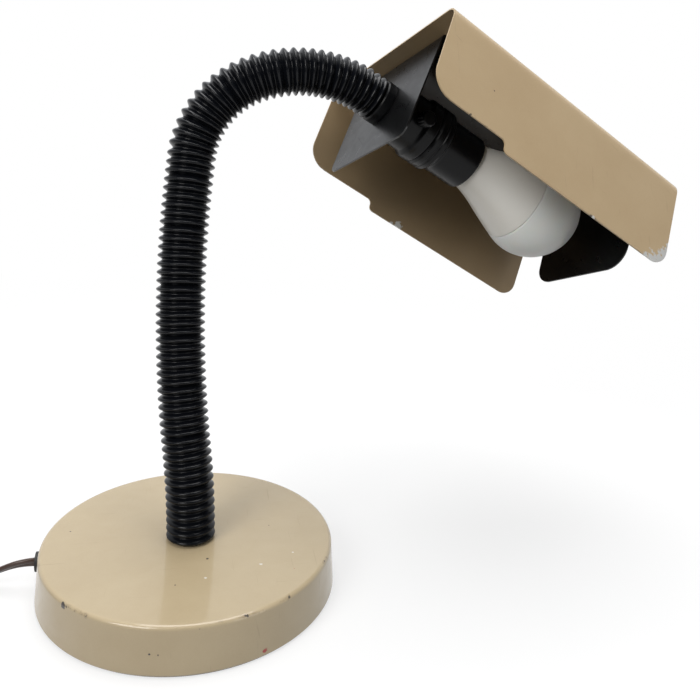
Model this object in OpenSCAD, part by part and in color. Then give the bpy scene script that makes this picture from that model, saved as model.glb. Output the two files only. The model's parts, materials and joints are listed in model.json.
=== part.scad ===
// Gooseneck desk lamp: round base, ribbed bending neck, folded steel shade.
// Millimetres, +Z up. The origin is the centre of the base on the table,
// and the neck first leans over towards +X.

/* [Base] */
// Width of the base at the table
base_bottom_d = 154; // [130:1:180]
// Width of the base at its top
base_top_d = 150; // [126:1:176]
// Height of the base
base_h = 24.5; // [23.5:0.5:40]
// Thickness of the steel cover
base_wall = 1; // [0.6:0.1:2]
// Rounding of the cover's top edge
base_edge_r = 2; // [1:0.5:4]
// Height of the pad's edge below the cover
pad_reveal = 1; // [0.5:0.1:2]
// Thickness of the pad under the base
pad_t = 2; // [1.5:0.1:3]
// Gap between the cover and the iron weight
weight_gap = 2; // [0.5:0.1:10]
// Thickness of the iron weight
weight_t = 18; // [14:0.5:19]
// Height of the cord's hole above the table
cord_hole_z = 15.5; // [12:0.5:18]

/* [Neck] */
// Outside width of the ribbed sleeve
sleeve_d = 25.4; // [22:0.1:30]
// Depth of the grooves between the ribs
rib_depth = 2; // [1:0.1:2.2]
// Open gap between two lengths of sleeve, at the ribs' crests
sleeve_gap = 4.6; // [4:0.1:6]
// Ribs on one length of sleeve in the lower neck
lower_ribs = 6; // [4:1:8]
// Ribs on one length of sleeve in the bend
upper_ribs = 5; // [3:1:7]
// Distance from the base to the first joint, along the neck
first_joint = 15; // [14.6:0.2:18]
// Distance from the last joint to the ferrule, along the neck
last_joint = 9; // [8.8:0.2:12]
// Width of a core link's ball
ball_d = 14; // [13.4:0.1:14.4]
// Wall of a core link's cup
cup_wall = 1; // [0.8:0.1:1.2]
// Width of a core link's tube
link_d = 9.2; // [8.6:0.1:9.6]
// Width of the threaded tubes at the neck's two ends
nipple_d = 10; // [9:0.1:10.6]
// Width of the cord's bore through the core and the threaded tubes
lead_bore_d = 6.4; // [5.4:0.1:6.6]

/* [Neck bends] */
// Length of the first bend, from the base
bend_1_length = 48; // [42:0.5:54]
// Angle of the first bend, in degrees
bend_1_angle = 13; // [0:0.5:18]
// Heading of the first bend, in degrees
bend_1_heading = 120; // [90:1:140]
// Length of the second bend
bend_2_length = 155; // [148:0.5:162]
// Angle of the second bend, in degrees
bend_2_angle = 13; // [5:0.5:20]
// Heading of the second bend, in degrees
bend_2_heading = 0; // [-20:1:20]
// Length of the third bend
bend_3_length = 53; // [50:0.5:60]
// Angle of the third bend, in degrees
bend_3_angle = 60; // [50:0.5:64]
// Heading of the third bend, in degrees
bend_3_heading = -9; // [-20:1:10]
// Length of the last bend, up to the ferrule
bend_4_length = 66; // [60:0.5:72]
// Angle of the last bend, in degrees
bend_4_angle = 55.5; // [45:0.5:60]
// Heading of the last bend, in degrees
bend_4_heading = 17; // [0:1:30]
// Turn of the shade about the neck's end, in degrees
shade_turn = 69.5; // [60:0.5:80]

/* [Shade] */
// Width of the shade over its side panels, at the top
shade_w = 127; // [115:1:150]
// Length of the shade
shade_l = 176; // [168:1:190]
// Height of the side panels
shade_h = 59; // [54:0.5:66]
// Height of the side panels at the narrow back part
shade_back_h = 52.5; // [46:0.5:56]
// Length of the narrow back part
shade_back_l = 51.5; // [45:0.5:60]
// Thickness of the shade's steel
shade_t = 0.9; // [0.6:0.1:1.5]
// Bend radius between the top and the side panels
shade_bend_r = 7; // [3:0.5:8]
// Height of the shade's top above the neck's end
shade_rise = 32.3; // [32:0.1:36]
// Distance from the shade's back edge to the back plate
plate_inset = 9; // [5:0.5:12]
// Width of the inner black channel
liner_w = 81; // [74:1:96]
// Height of the back plate
plate_h = 66; // [58:1:70]
// Height of the front flap
flap_h = 54; // [44:1:58]
// Width of the ferrule between the ribs and the back plate
ferrule_d = 25; // [22:0.5:28]
// Length of the ferrule
ferrule_l = 12; // [10:0.5:14]

/* [Lamp holder] */
// Widest part of the holder
holder_d = 37.4; // [36.8:0.1:40]
// Width of the holder's front sleeve
holder_front_d = 32.8; // [32:0.1:35]
// Distance from the back plate to the holder's mouth
holder_l = 62; // [60:0.5:66]
// Length of the switch knob
knob_l = 8; // [6:0.5:12]
// Width of the switch knob
knob_d = 9; // [7:0.5:11]

/* [Bulb] */
// Width of the bulb's globe
bulb_d = 60; // [55:0.5:62]
// Length of the bulb from its contact to the top of the globe
bulb_l = 108; // [104:1:115]
// Width of the bulb's screw cap
screw_d = 26.2; // [25.8:0.1:26.4]

/* [Cord] */
// Width of the flat two-core cord
cord_w = 5.2; // [4.8:0.1:6]
// Thickness of the flat two-core cord
cord_t = 2.8; // [2.4:0.1:3.2]
// Width of the cord's round stand-in inside the lamp
lead_d = 4.6; // [4:0.1:4.8]

/* [Hidden] */
$fn = 64;
eps = 0.01;

N_JOINTS = 12;
FIRST_UPPER = 7;
link_numbers = [for (k = [0:N_JOINTS]) k];
function two_digits(k) = str(k < 10 ? "0" : "", k);

// Clearances
fit = 0.05;       // a part that seats in or on another
slide_fit = 0.1;  // a part that turns in another
air = 0.3;        // neighbours that must not touch

// Vectors
function unit(v) = v / norm(v);
// v turned about the unit axis k by the angle a
function turned(v, k, a) = v * cos(a) + cross(k, v) * sin(a) + k * (k * v) * (1 - cos(a));

// The neck's centre line: four arcs and the straight ferrule. An arc turns the
// frame [point, u, v, t] about an axis square to the tangent t. The heading 0
// leans towards u.
bends = [
    [bend_1_length, bend_1_angle, bend_1_heading],
    [bend_2_length, bend_2_angle, bend_2_heading],
    [bend_3_length, bend_3_angle, bend_3_heading],
    [bend_4_length, bend_4_angle, bend_4_heading],
    [ferrule_l, 0, 0]];
foot_frame = [[0, 0, base_h], [1, 0, 0], [0, 1, 0], [0, 0, 1]];

// The frame f carried along an arc of this length, angle and heading
function along_arc(f, length, angle, heading) =
    let (n = cos(heading) * f[1] + sin(heading) * f[2],
         k = -sin(heading) * f[1] + cos(heading) * f[2],
         r = angle == 0 ? 0 : length / (angle * PI / 180),
         p = angle == 0 ? f[0] + length * f[3]
                        : f[0] + r * sin(angle) * f[3] + r * (1 - cos(angle)) * n)
    [p, turned(f[1], k, angle), turned(f[2], k, angle), turned(f[3], k, angle)];

// The frame at the distance s along the neck, from bend i on
function neck_from(f, s, i) =
    let (b = bends[i])
    s <= b[0] || i == len(bends) - 1
        ? along_arc(f, s, b[1] * s / b[0], b[2])
        : neck_from(along_arc(f, b[0], b[1], b[2]), s - b[0], i + 1);
function neck_at(s) = neck_from(foot_frame, s, 0);

bent_l = bend_1_length + bend_2_length + bend_3_length + bend_4_length;
joint_pitch = (bent_l - first_joint - last_joint) / (N_JOINTS - 1);
neck_l = bent_l + ferrule_l;
function joint_s(k) = first_joint + (k - 1) * joint_pitch;
function joint_frame(k) = neck_at(joint_s(k));
sleeve_end = bent_l;

// The head's frame: x runs along the lamp holder from the back plate's outer
// face, y towards the shade's open side, z towards the far side panel.
end_frame = neck_at(neck_l);
head_x = end_frame[3];
head_z = turned(end_frame[1], head_x, shade_turn);
head_y = cross(head_z, head_x);
function head_point(p) = end_frame[0] + p[0] * head_x + p[1] * head_y + p[2] * head_z;

// The first and last joints lie in line with the threaded tubes, and the rest
// lie on the neck's centre line
function joint_point(k) =
    k == 1 ? foot_frame[0] + first_joint * foot_frame[3] :
    k == N_JOINTS ? head_point([-ferrule_l - last_joint, 0, 0]) : joint_frame(k)[0];
joint_shift = max([for (k = [1, N_JOINTS]) norm(joint_point(k) - joint_frame(k)[0])]);

// Derived sizes
ball_r = ball_d / 2;
cup_in_r = ball_r + slide_fit;
cup_out_r = cup_in_r + cup_wall;
link_r = link_d / 2;
lead_bore_r = lead_bore_d / 2;
lead_r = lead_d / 2;
nipple_r = nipple_d / 2;
nipple_in = 12;
nipple_hole_r = nipple_r + fit;
HOSE_SIDES = 8;
// An eight-sided bore has its flats nearer the axis than its corners
hose_bore_r = (cup_out_r + air) / cos(180 / HOSE_SIDES);
// The bore is wider by the shift near the first and last joints
function bore_r(s) =
    let (off = min(abs(s - joint_s(1)), abs(s - joint_s(N_JOINTS))))
    hose_bore_r + joint_shift / cos(180 / HOSE_SIDES) * max(0, 1 - max(0, off - 10) / 8);
crest_r = sleeve_d / 2;
valley_r = crest_r - rib_depth;
bore_gap = sleeve_gap - 1;
shell_top_r = base_top_d / 2;
shell_bottom_r = base_bottom_d / 2;
// Outside radius of the cover at the height z
function shell_r(z) = shell_bottom_r
    + (shell_top_r - shell_bottom_r) * (z - pad_reveal) / (base_h - pad_reveal);
weight_d = 2 * (min(shell_top_r, shell_bottom_r) - base_wall - weight_gap);
weight_top = base_h - base_wall;
weight_bottom = weight_top - weight_t;
weight_bore_r = nipple_r + 0.5;
pocket_r = 14;
pocket_h = 8.2;
washer_r = 12.5;
washer_t = 1.5;
nut_t = 5;
nut_r = 9;
washer_top = weight_bottom + pocket_h;
nipple_bottom = washer_top - washer_t - nut_t - 1;
collar_r = cup_out_r;
collar_h = 9;
collar_deep = 6;

echo(head = [end_frame[0], head_x, head_y, head_z]);
echo(joint_shift = joint_shift);
echo(joints = [for (k = [1:N_JOINTS]) joint_point(k)]);
echo(tangents = [for (k = [1:N_JOINTS]) joint_frame(k)[3]]);
echo(us = [for (k = [1:N_JOINTS]) joint_frame(k)[1]]);
echo(vs = [for (k = [1:N_JOINTS]) joint_frame(k)[2]]);

// Placement
module at_frame(p, x, y, z) {
    multmatrix([[x[0], y[0], z[0], p[0]],
                [x[1], y[1], z[1], p[1]],
                [x[2], y[2], z[2], p[2]]]) children();
}
module at_head() {
    at_frame(end_frame[0], head_x, head_y, head_z) children();
}
// Children's +Z along the direction d, from the point p
module pointing(p, d) {
    z = unit(d);
    side = abs(z[0]) > 0.9 ? [0, 1, 0] : [1, 0, 0];
    x = unit(cross(side, z));
    at_frame(p, x, cross(z, x), z) children();
}
// Children's +Z along the head's x axis, at this distance from the back plate
module on_axis(x) {
    at_head() translate([x, 0, 0]) rotate([0, 90, 0]) children();
}
module tube(r, bore_r, h) {
    difference() {
        cylinder(r = r, h = h);
        translate([0, 0, -eps]) cylinder(r = bore_r, h = h + 2 * eps);
    }
}

// Outlines: points with arcs at corners [x, y, radius]
ARC_STEPS = 6;
function corner_arc(a, b, c) =
    b[2] == 0 ? [[b[0], b[1]]] :
    let (p = [b[0], b[1]], d1 = unit([a[0], a[1]] - p), d2 = unit([c[0], c[1]] - p),
         half = acos(d1 * d2) / 2, reach = b[2] / tan(half),
         m = p + unit(d1 + d2) * b[2] / sin(half),
         v1 = p + d1 * reach - m, v2 = p + d2 * reach - m,
         turn = (v1[0] * v2[1] - v1[1] * v2[0] > 0 ? 1 : -1) * (180 - 2 * half))
    [for (i = [0:ARC_STEPS]) let (w = turn * i / ARC_STEPS)
        m + [v1[0] * cos(w) - v1[1] * sin(w), v1[0] * sin(w) + v1[1] * cos(w)]];
function rounded(corners) =
    let (n = len(corners))
    [for (i = [0:n - 1])
        each corner_arc(corners[(i + n - 1) % n], corners[i], corners[(i + 1) % n])];

// A skin over rings of points, each ring with the same number of sides.
// With closed_loop the last ring joins the first, and otherwise ends are capped.
module skin(rings, closed_loop = false) {
    m = len(rings);
    n = len(rings[0]);
    walls = [for (i = [0:closed_loop ? m - 1 : m - 2], j = [0:n - 1])
        let (a = i * n + j, b = i * n + (j + 1) % n,
             d = ((i + 1) % m) * n + j, c = ((i + 1) % m) * n + (j + 1) % n)
        each [[a, d, c], [a, c, b]]];
    caps = closed_loop ? [] : [
        for (j = [1:n - 2]) [0, j, j + 1],
        for (j = [1:n - 2]) [(m - 1) * n, (m - 1) * n + j + 1, (m - 1) * n + j]];
    polyhedron(points = [for (ring = rings) each ring], faces = concat(walls, caps));
}
// A ring of n points round the point p, in the plane of the vectors a and b
function ring(p, a, b, n) =
    [for (j = [0:n - 1]) p + cos(360 * j / n) * a + sin(360 * j / n) * b];

// A round tube along points, its frame carried from one point to the next
function path_tangent(points, i) =
    let (n = len(points))
    unit(points[min(i + 1, n - 1)] - points[max(i - 1, 0)]);
function carried(points, i, u) =
    let (t = path_tangent(points, i)) unit(u - t * (u * t));
function path_sides(points, u0) =
    [for (i = 0, u = carried(points, 0, u0); i < len(points);
          i = i + 1, u = i < len(points) ? carried(points, i, u) : u) u];
module round_lead(points, r, side) {
    us = path_sides(points, side);
    skin([for (i = [0:len(points) - 1])
        ring(points[i], us[i] * r, cross(path_tangent(points, i), us[i]) * r, 8)]);
}

// Base

module base_shell() {
    color("tan") difference() {
        rotate_extrude() difference() {
            polygon(rounded([[0, pad_reveal, 0], [shell_bottom_r, pad_reveal, 0],
                [shell_top_r, base_h, base_edge_r], [0, base_h, 0]]));
            polygon(rounded([[-1, -1, 0], [shell_bottom_r - base_wall, -1, 0],
                [shell_top_r - base_wall, base_h - base_wall, base_edge_r / 2],
                [-1, base_h - base_wall, 0]]));
        }
        cylinder(r = nipple_hole_r, h = base_h + 1);
        cord_hole(grommet_r + fit);
    }
}
grommet_r = 5;
grommet_flange_r = 6.5;
module cord_hole(r) {
    translate([-shell_bottom_r - 5, 0, cord_hole_z]) rotate([0, 90, 0]) cylinder(r = r, h = 15);
}

// Iron disc with a pocket for the nut and a channel for the cord, open below
channel_w = 13;
channel_h = 15;
module base_weight() {
    color("dimgray") difference() {
        translate([0, 0, weight_bottom]) cylinder(d = weight_d, h = weight_t);
        cylinder(r = weight_bore_r, h = base_h);
        translate([0, 0, weight_bottom - 1]) cylinder(r = pocket_r, h = pocket_h + 1);
        translate([-weight_d, -channel_w / 2, weight_bottom - 1])
            cube([weight_d - pocket_r + 2, channel_w, channel_h + 1]);
    }
}

module base_pad() {
    color("black") cylinder(r = shell_r(pad_t) - base_wall - air, h = pad_t);
}

// The cord's bushing: a flange on each side of the wall
grommet_proud = 1.4;
grommet_face = -shell_r(cord_hole_z) - grommet_proud;
// The cord's routes are laid for a bushing with its face here, and move with the real face
laid_face = -77.166;
cord_shift = grommet_face - laid_face;
// The wall is round and leans, so the inner flange stays this far behind it
flange_back = base_wall + grommet_flange_r * (grommet_flange_r / shell_top_r
    + abs(shell_bottom_r - shell_top_r) / base_h) + fit;
module cord_grommet() {
    flange_x = -grommet_face - grommet_proud - flange_back;
    color("black") difference() {
        translate([0, 0, cord_hole_z]) rotate([0, -90, 0]) union() {
            translate([0, 0, flange_x - 1]) cylinder(r = grommet_r, h = -grommet_face - flange_x + 1);
            translate([0, 0, flange_x - 1.6]) cylinder(r = grommet_flange_r - 0.6, h = 1.6);
        }
        translate([grommet_face - 1, -cord_t / 2 - fit, cord_hole_z - cord_w / 2 - fit])
            cube([10, cord_t + 2 * fit, cord_w + 2 * fit]);
    }
}

module neck_nipple() {
    color("silver") translate([0, 0, nipple_bottom])
        tube(nipple_r, lead_bore_r, base_h + collar_deep - nipple_bottom);
}

module base_washer() {
    color("silver") translate([0, 0, washer_top - washer_t])
        tube(washer_r, nipple_hole_r, washer_t);
}

module base_nut() {
    color("silver") translate([0, 0, washer_top - washer_t - nut_t]) difference() {
        cylinder(r = nut_r, h = nut_t, $fn = 6);
        translate([0, 0, -1]) cylinder(r = nipple_hole_r, h = nut_t + 2);
    }
}

// The cord's run in the base: down the channel, under the nut and up the tube
base_route = [
    [-72 + cord_shift, 0, cord_hole_z], [-58, 0, 15], [-40, 0, 12], [-25, 0, 8],
    [-14, 0, 4.8], [-7, 0, 4.3], [-2.5, 0, 4.5], [-0.4, 0, 6.6], [0, 0, 10],
    [0, 0, 18], [0, 0, base_h]];
module base_lead() {
    color("saddlebrown") round_lead(base_route, lead_r - 0.1, [0, 1, 0]);
}

// Neck

// Each length of sleeve runs between two joints, with a crest at both ends
function sleeve_from(k) = k == 0 ? 0 : joint_s(k) + sleeve_gap / 2;
function sleeve_to(k) = k == N_JOINTS ? sleeve_end : joint_s(k + 1) - sleeve_gap / 2;
function sleeve_ribs(k) =
    k == 0 ? lower_ribs - 2 : k == N_JOINTS ? upper_ribs - 2 :
    k < FIRST_UPPER ? lower_ribs : upper_ribs;
function neck_ring(s, r) = let (f = neck_at(s)) ring(f[0], f[1] * r, f[2] * r, HOSE_SIDES);
BORE_RINGS = 4;
module sleeve(k) {
    s0 = sleeve_from(k);
    s1 = sleeve_to(k);
    steps = 2 * (sleeve_ribs(k) - 1);
    b0 = k == 0 ? s0 : s0 - (sleeve_gap - bore_gap) / 2;
    b1 = k == N_JOINTS ? s1 : s1 + (sleeve_gap - bore_gap) / 2;
    ribs = [for (i = [0:steps])
        neck_ring(s0 + (s1 - s0) * i / steps, i % 2 == 0 ? crest_r : valley_r)];
    bore = [for (i = [BORE_RINGS - 1:-1:0])
        let (s = b0 + (b1 - b0) * i / (BORE_RINGS - 1)) neck_ring(s, bore_r(s))];
    color([0.1, 0.1, 0.11]) skin(concat(ribs, bore), closed_loop = true);
}

// Core links are turned shapes: a ball at the lower joint, a tube, and a cup
// round the next ball, whose rim stands a little past the ball's widest place.
// The ball's bore flares towards the cup, to pass the cord at any bend.
RIM_ANGLE = 5;
FLARE_SLOPE = 0.7;
plug_in = 5;
// Half of a link's section, from the joint at y = 0 up to y = l
module link_section(l, has_ball, has_cup) {
    difference() {
        union() {
            square([link_r, l]);
            if (has_ball) circle(r = ball_r);
            if (has_cup) translate([0, l]) circle(r = cup_out_r);
            if (!has_ball) square([collar_r, collar_h]);
        }
        if (has_cup) translate([0, l]) {
            circle(r = cup_in_r);
            translate([-cup_out_r, cup_in_r * sin(RIM_ANGLE)]) square(2 * cup_out_r);
        }
        if (has_ball) polygon([[0, 0], [lead_bore_r, 0],
            [lead_bore_r + FLARE_SLOPE * ball_d, -ball_d], [0, -ball_d]]);
        if (!has_ball) translate([0, -1]) square([nipple_hole_r, collar_deep + 1]);
        translate([-cup_out_r, -ball_d])
            square([cup_out_r + lead_bore_r, l + 2 * ball_d]);
    }
}
function link_from(k) = k == 0 ? foot_frame[0] : joint_point(k);
function link_to(k) =
    k == N_JOINTS ? head_point([-ferrule_l + plug_in, 0, 0]) : joint_point(k + 1);
module link(k) {
    reach = link_to(k) - link_from(k);
    color("gray") pointing(link_from(k), reach) rotate_extrude()
        link_section(norm(reach), k > 0, k < N_JOINTS);
}

// The cord's run in the neck, through the joints' centres, ends just short of the head's leads
lead_gap = 0.4;
neck_route = concat(
    [foot_frame[0]], [for (k = [1:N_JOINTS]) joint_point(k)],
    [head_point([-ferrule_l, 0, 0]), head_point([nipple_in - lead_gap, 0, 0])]);
module neck_lead() {
    color("saddlebrown") round_lead(neck_route, lead_r - 0.1, [0, 1, 0]);
}

module neck_ferrule() {
    color([0.08, 0.08, 0.09]) on_axis(-ferrule_l + fit)
        tube(ferrule_d / 2, nipple_hole_r, ferrule_l - fit);
}

// Head

plate_t = shade_t;
head_nut_t = 3.2;
head_nut_r = 9;
holder_back = plate_t + head_nut_t;
module head_nipple() {
    from = -ferrule_l + plug_in + fit;
    color("silver") on_axis(from) tube(nipple_r, lead_bore_r, nipple_in - from);
}
module head_nut() {
    color("silver") on_axis(plate_t) difference() {
        cylinder(r = head_nut_r, h = head_nut_t - fit, $fn = 6);
        translate([0, 0, -1]) cylinder(r = nipple_hole_r, h = head_nut_t + 2);
    }
}

// Shade, with its own values: how far the panels lean out per unit of height,
// and how far the back and front edges lean forward
panel_lean = 0.03;
back_lean = 0.03;
front_lean = 0.01;
back_x = -plate_inset;
front_x = shade_l - plate_inset;
top_y = -shade_rise;
open_y = top_y + shade_h;
narrow_y = top_y + shade_back_h;
notch_x = back_x + shade_back_l;
back_corner_r = 13;
front_corner_r = 11;
notch_r = 3.2;

// The side view of the panels in x and y
module panel_outline() {
    polygon(rounded([
        [back_x, top_y - 1, 0], [front_x, top_y - 1, 0],
        [front_x + front_lean * shade_h, open_y, front_corner_r],
        [notch_x, open_y, notch_r], [notch_x, narrow_y, notch_r],
        [back_x + back_lean * shade_back_h, narrow_y, back_corner_r]]));
}
// The end view of the shade in z and y: a U with its open side at +y
module hood_section() {
    half = shade_w / 2;
    out = half + panel_lean * (shade_h + 1);
    difference() {
        polygon(rounded([[out, open_y + 1, 0], [half, top_y, shade_bend_r],
            [-half, top_y, shade_bend_r], [-out, open_y + 1, 0]]));
        polygon(rounded([[out - shade_t + 1 * panel_lean, open_y + 2, 0],
            [half - shade_t, top_y + shade_t, shade_bend_r - shade_t],
            [-half + shade_t, top_y + shade_t, shade_bend_r - shade_t],
            [-out + shade_t - 1 * panel_lean, open_y + 2, 0]]));
    }
}
rivet_r = 2;
rivet_x = [18, 140];
rivet_z = 30;
module rivet_places() {
    for (x = rivet_x, s = [-1, 1]) at_head() translate([x, top_y, s * rivet_z])
        rotate([-90, 0, 0]) children();
}
module shade_hood() {
    color("tan") difference() {
        at_head() intersection() {
            translate([back_x - 5, 0, 0]) across() linear_extrude(shade_l + 20) hood_section();
            translate([0, 0, -shade_w]) linear_extrude(2 * shade_w) panel_outline();
        }
        rivet_places() translate([0, 0, -1]) cylinder(r = rivet_r + fit, h = 4);
    }
}

// Black channel under the hood's top: its back end is the plate that the neck
// and the lamp holder are fixed to, and its front end is the flap
liner_top = top_y + shade_t + fit;
flap_x = front_x - 2;
liner_bend_r = 2;
plate_taper = 2;
flap_taper = 4;
module liner_outline() {
    difference() {
        polygon(rounded([[0, top_y + plate_h, 0], [0, liner_top, liner_bend_r],
            [flap_x, liner_top, liner_bend_r], [flap_x, top_y + plate_h, 0]]));
        polygon(rounded([[plate_t, top_y + plate_h + 1, 0],
            [plate_t, liner_top + plate_t, liner_bend_r - plate_t],
            [flap_x - plate_t, liner_top + plate_t, liner_bend_r - plate_t],
            [flap_x - plate_t, top_y + plate_h + 1, 0]]));
    }
}
// The end view of the plate or the flap in z and y
module end_outline(h, taper, r) {
    half = liner_w / 2;
    polygon(rounded([[half, top_y, 0], [half - taper, top_y + h, r],
        [-half + taper, top_y + h, r], [-half, top_y, 0]]));
}
module shade_liner() {
    color([0.07, 0.07, 0.07]) difference() {
        at_head() intersection() {
            translate([0, 0, -shade_w]) linear_extrude(2 * shade_w) liner_outline();
            union() {
                translate([-1, 0, 0]) across() linear_extrude(flap_x / 2 + 1)
                    end_outline(plate_h, plate_taper, 5);
                translate([flap_x / 2, 0, 0]) across() linear_extrude(flap_x)
                    end_outline(flap_h, flap_taper, 12);
            }
        }
        on_axis(-1) cylinder(r = nipple_hole_r, h = 4);
        rivet_places() cylinder(r = rivet_r + fit, h = 4);
    }
}
// Turns an outline in z and y to stand across the head's x axis
module across() {
    multmatrix([[0, 0, 1, 0], [0, 1, 0, 0], [-1, 0, 0, 0]]) children();
}

module hood_rivets() {
    color("tan") rivet_places() {
        translate([0, 0, -0.8]) cylinder(r1 = rivet_r + 0.6, r2 = rivet_r + 1.4, h = 0.8);
        translate([0, 0, -eps]) cylinder(r = rivet_r, h = 2 * shade_t + fit + 0.4);
        translate([0, 0, 2 * shade_t + fit]) cylinder(r = rivet_r + 1, h = 0.8);
    }
}

// Lamp holder, along the head's x axis

globe_x = 115.7;
bulb_r = bulb_d / 2;
tip_x = globe_x + bulb_r - bulb_l;
holder_r = holder_d / 2;
front_r = holder_front_d / 2;
holder_wall = 1.5;
seam_x = 29.5;
band_end = 38.5;
core_x = seam_x + 0.5;
core_t = 5.5;
core_r = holder_r - 2 * holder_wall - 0.4;
shell_inner_r = front_r - holder_wall;
screw_shell_in_r = screw_d / 2 + slide_fit + 0.1;
screw_shell_r = screw_shell_in_r + 0.6;
knob_x = 17.5;
knob_tilt = 16;
knob_seat = 18.5;

module holder_profile(points) {
    rotate_extrude() polygon(points);
}
module at_knob() {
    at_head() translate([knob_x, 0, 0]) rotate([180 + knob_tilt, 0, 0]) children();
}
module socket_cap() {
    w = 2;
    color([0.06, 0.06, 0.06]) difference() {
        on_axis(0) holder_profile([
            [nipple_hole_r, holder_back], [10.5, holder_back], [12.5, holder_back + 3],
            [14, holder_back + 5], [14.8, 10.5], [16.4, 12], [16.8, 20.5], [17.4, 21.2],
            [holder_r - 0.3, 23], [holder_r, 24.5], [holder_r, seam_x - 1.2],
            [holder_r - 0.8, seam_x - 0.1], [holder_r - w, seam_x - 0.1],
            [holder_r - w, 24.5], [14.8, 21.5], [14.2, nipple_in + 1], [nipple_hole_r, nipple_in + 1]]);
        at_knob() cylinder(r = 2.1 + slide_fit, h = 30);
    }
}
module socket_shell() {
    color([0.06, 0.06, 0.06]) on_axis(0) holder_profile([
        [holder_r - 1, seam_x + 0.1], [holder_r, seam_x + 1.2], [holder_r, band_end - 1],
        [holder_r - 0.9, band_end], [front_r + 0.3, band_end + 0.6], [front_r, band_end + 2.4],
        [front_r, holder_l - 0.8], [front_r - 0.6, holder_l], [shell_inner_r, holder_l],
        [shell_inner_r, core_x + core_t], [core_r + fit, core_x + core_t],
        [core_r + fit, seam_x + 0.1]]);
}
contact_r = 4.5;
module socket_core() {
    color("ivory") difference() {
        on_axis(core_x) cylinder(r = core_r, h = core_t - fit);
        on_axis(core_x - 1) cylinder(r = 2.2, h = core_t + 2);
        for (s = [-1, 1]) at_head() translate([core_x - 1, 0, s * terminal_z])
            rotate([0, 90, 0]) cylinder(r = 1.6 + fit, h = core_t + 2);
    }
}
terminal_z = 9;
module screw_shell() {
    x0 = core_x + core_t;
    color("goldenrod") on_axis(x0) difference() {
        cylinder(r = screw_shell_r, h = 20);
        translate([0, 0, 0.6]) cylinder(r = screw_shell_in_r, h = 20);
        translate([0, 0, -1]) cylinder(r = contact_r + 1.5, h = 3);
        for (s = [-1, 1]) translate([s * terminal_z, 0, -1]) cylinder(r = 1.6 + fit, h = 3);
    }
}
// The centre contact: a rivet through the core and a dished leaf
module centre_contact() {
    reach = tip_x - fit - core_x - core_t;
    color("goldenrod") on_axis(core_x - 1.2) {
        cylinder(r = 2.1, h = core_t + 1.2 + eps);
        cylinder(r = 3.2, h = 1.2);
        translate([0, 0, core_t + 1.2]) cylinder(r1 = contact_r, r2 = 3, h = reach);
    }
}
module terminal_screws() {
    color("goldenrod") for (s = [-1, 1]) at_head()
        translate([core_x - 2.6, 0, s * terminal_z]) rotate([0, 90, 0]) {
            cylinder(r = 3.4, h = 2.6);
            cylinder(r = 1.6, h = core_t + 1.5);
        }
}
// Two conductors from the end of the neck's tube to the terminals
lead_end = core_x - 2.6;
module head_leads() {
    color("saddlebrown") for (s = [-1, 1])
        round_lead([for (p = [[nipple_in, 0, s * 1.1], [16, 0, s * 1.8], [20, 0, s * 4.5],
            [23.5, 0, s * 8], [lead_end - 1.5, 0, s * terminal_z], [lead_end, 0, s * terminal_z]])
            head_point(p)], 0.9, head_y);
}

// Turn switch: the knob outside the cap, its rotor inside
module switch_knob() {
    flutes = 12;
    color([0.05, 0.05, 0.05]) at_knob() {
        difference() {
            translate([0, 0, knob_seat]) cylinder(d = knob_d, h = knob_l - 1);
            for (i = [0:flutes - 1]) rotate(i * 360 / flutes)
                translate([knob_d / 2 + 0.35, 0, knob_seat + 1.5]) cylinder(r = 0.7, h = knob_l);
        }
        translate([0, 0, knob_seat + knob_l - 1 - eps])
            cylinder(r1 = knob_d / 2 - 0.5, r2 = knob_d / 2 - 1.5, h = 1);
        translate([0, 0, 13.5]) cylinder(r = 2.1, h = knob_seat - 13.5 + eps);
    }
}
module switch_rotor() {
    color("ivory") at_knob() translate([0, 0, 9.5]) {
        cylinder(r = 4, h = 4 - fit);
    }
}

// Bulb

cap_l = 24;
cap_end = tip_x + cap_l;
seam_back = 13;
bulb_seam = globe_x - seam_back;
seam_r = sqrt(bulb_r * bulb_r - seam_back * seam_back);
body_wall = 1.5;
module bulb_body() {
    neck_r = screw_d / 2 + 0.6;
    color("white") on_axis(0) holder_profile([
        [neck_r - 4, cap_end], [neck_r, cap_end], [neck_r + 0.8, cap_end + 3],
        [neck_r + 2.2, cap_end + 9], [seam_r - 6, bulb_seam - 13], [seam_r - 1.5, bulb_seam - 4],
        [seam_r, bulb_seam], [seam_r - body_wall, bulb_seam],
        [seam_r - 1.5 - body_wall, bulb_seam - 4], [seam_r - 6 - body_wall, bulb_seam - 13],
        [neck_r + 2.2 - body_wall, cap_end + 9], [neck_r - 4, cap_end + 4]]);
}
module bulb_diffuser() {
    DOME = 20;
    wall = 1.2;
    // One side of the dome at the radius r, from the seam to the axis
    function dome(r) =
        let (a0 = asin((bulb_seam + fit - globe_x) / r))
        [for (i = [0:DOME]) let (a = a0 + (90 - a0) * i / DOME)
            [i == DOME ? 0 : r * cos(a), globe_x + r * sin(a)]];
    inner = dome(bulb_r - wall);
    color("whitesmoke") on_axis(0) rotate_extrude() polygon(concat(
        dome(bulb_r), [for (i = [DOME:-1:0]) inner[i]]));
}
module bulb_screw_cap() {
    color("silver") on_axis(tip_x + 3.2) difference() {
        cylinder(r = screw_d / 2, h = cap_l - 3.2 - fit);
        translate([0, 0, -1]) cylinder(r = 5.5 + fit, h = 3);
        translate([0, 0, 1]) cylinder(r = screw_d / 2 - 0.6, h = cap_l);
    }
}
module bulb_tip() {
    color("silver") on_axis(tip_x) {
        cylinder(r1 = 2.6, r2 = 4.6, h = 1.2);
        translate([0, 0, 1.2 - eps]) cylinder(r = 5.5, h = 4);
    }
}
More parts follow.
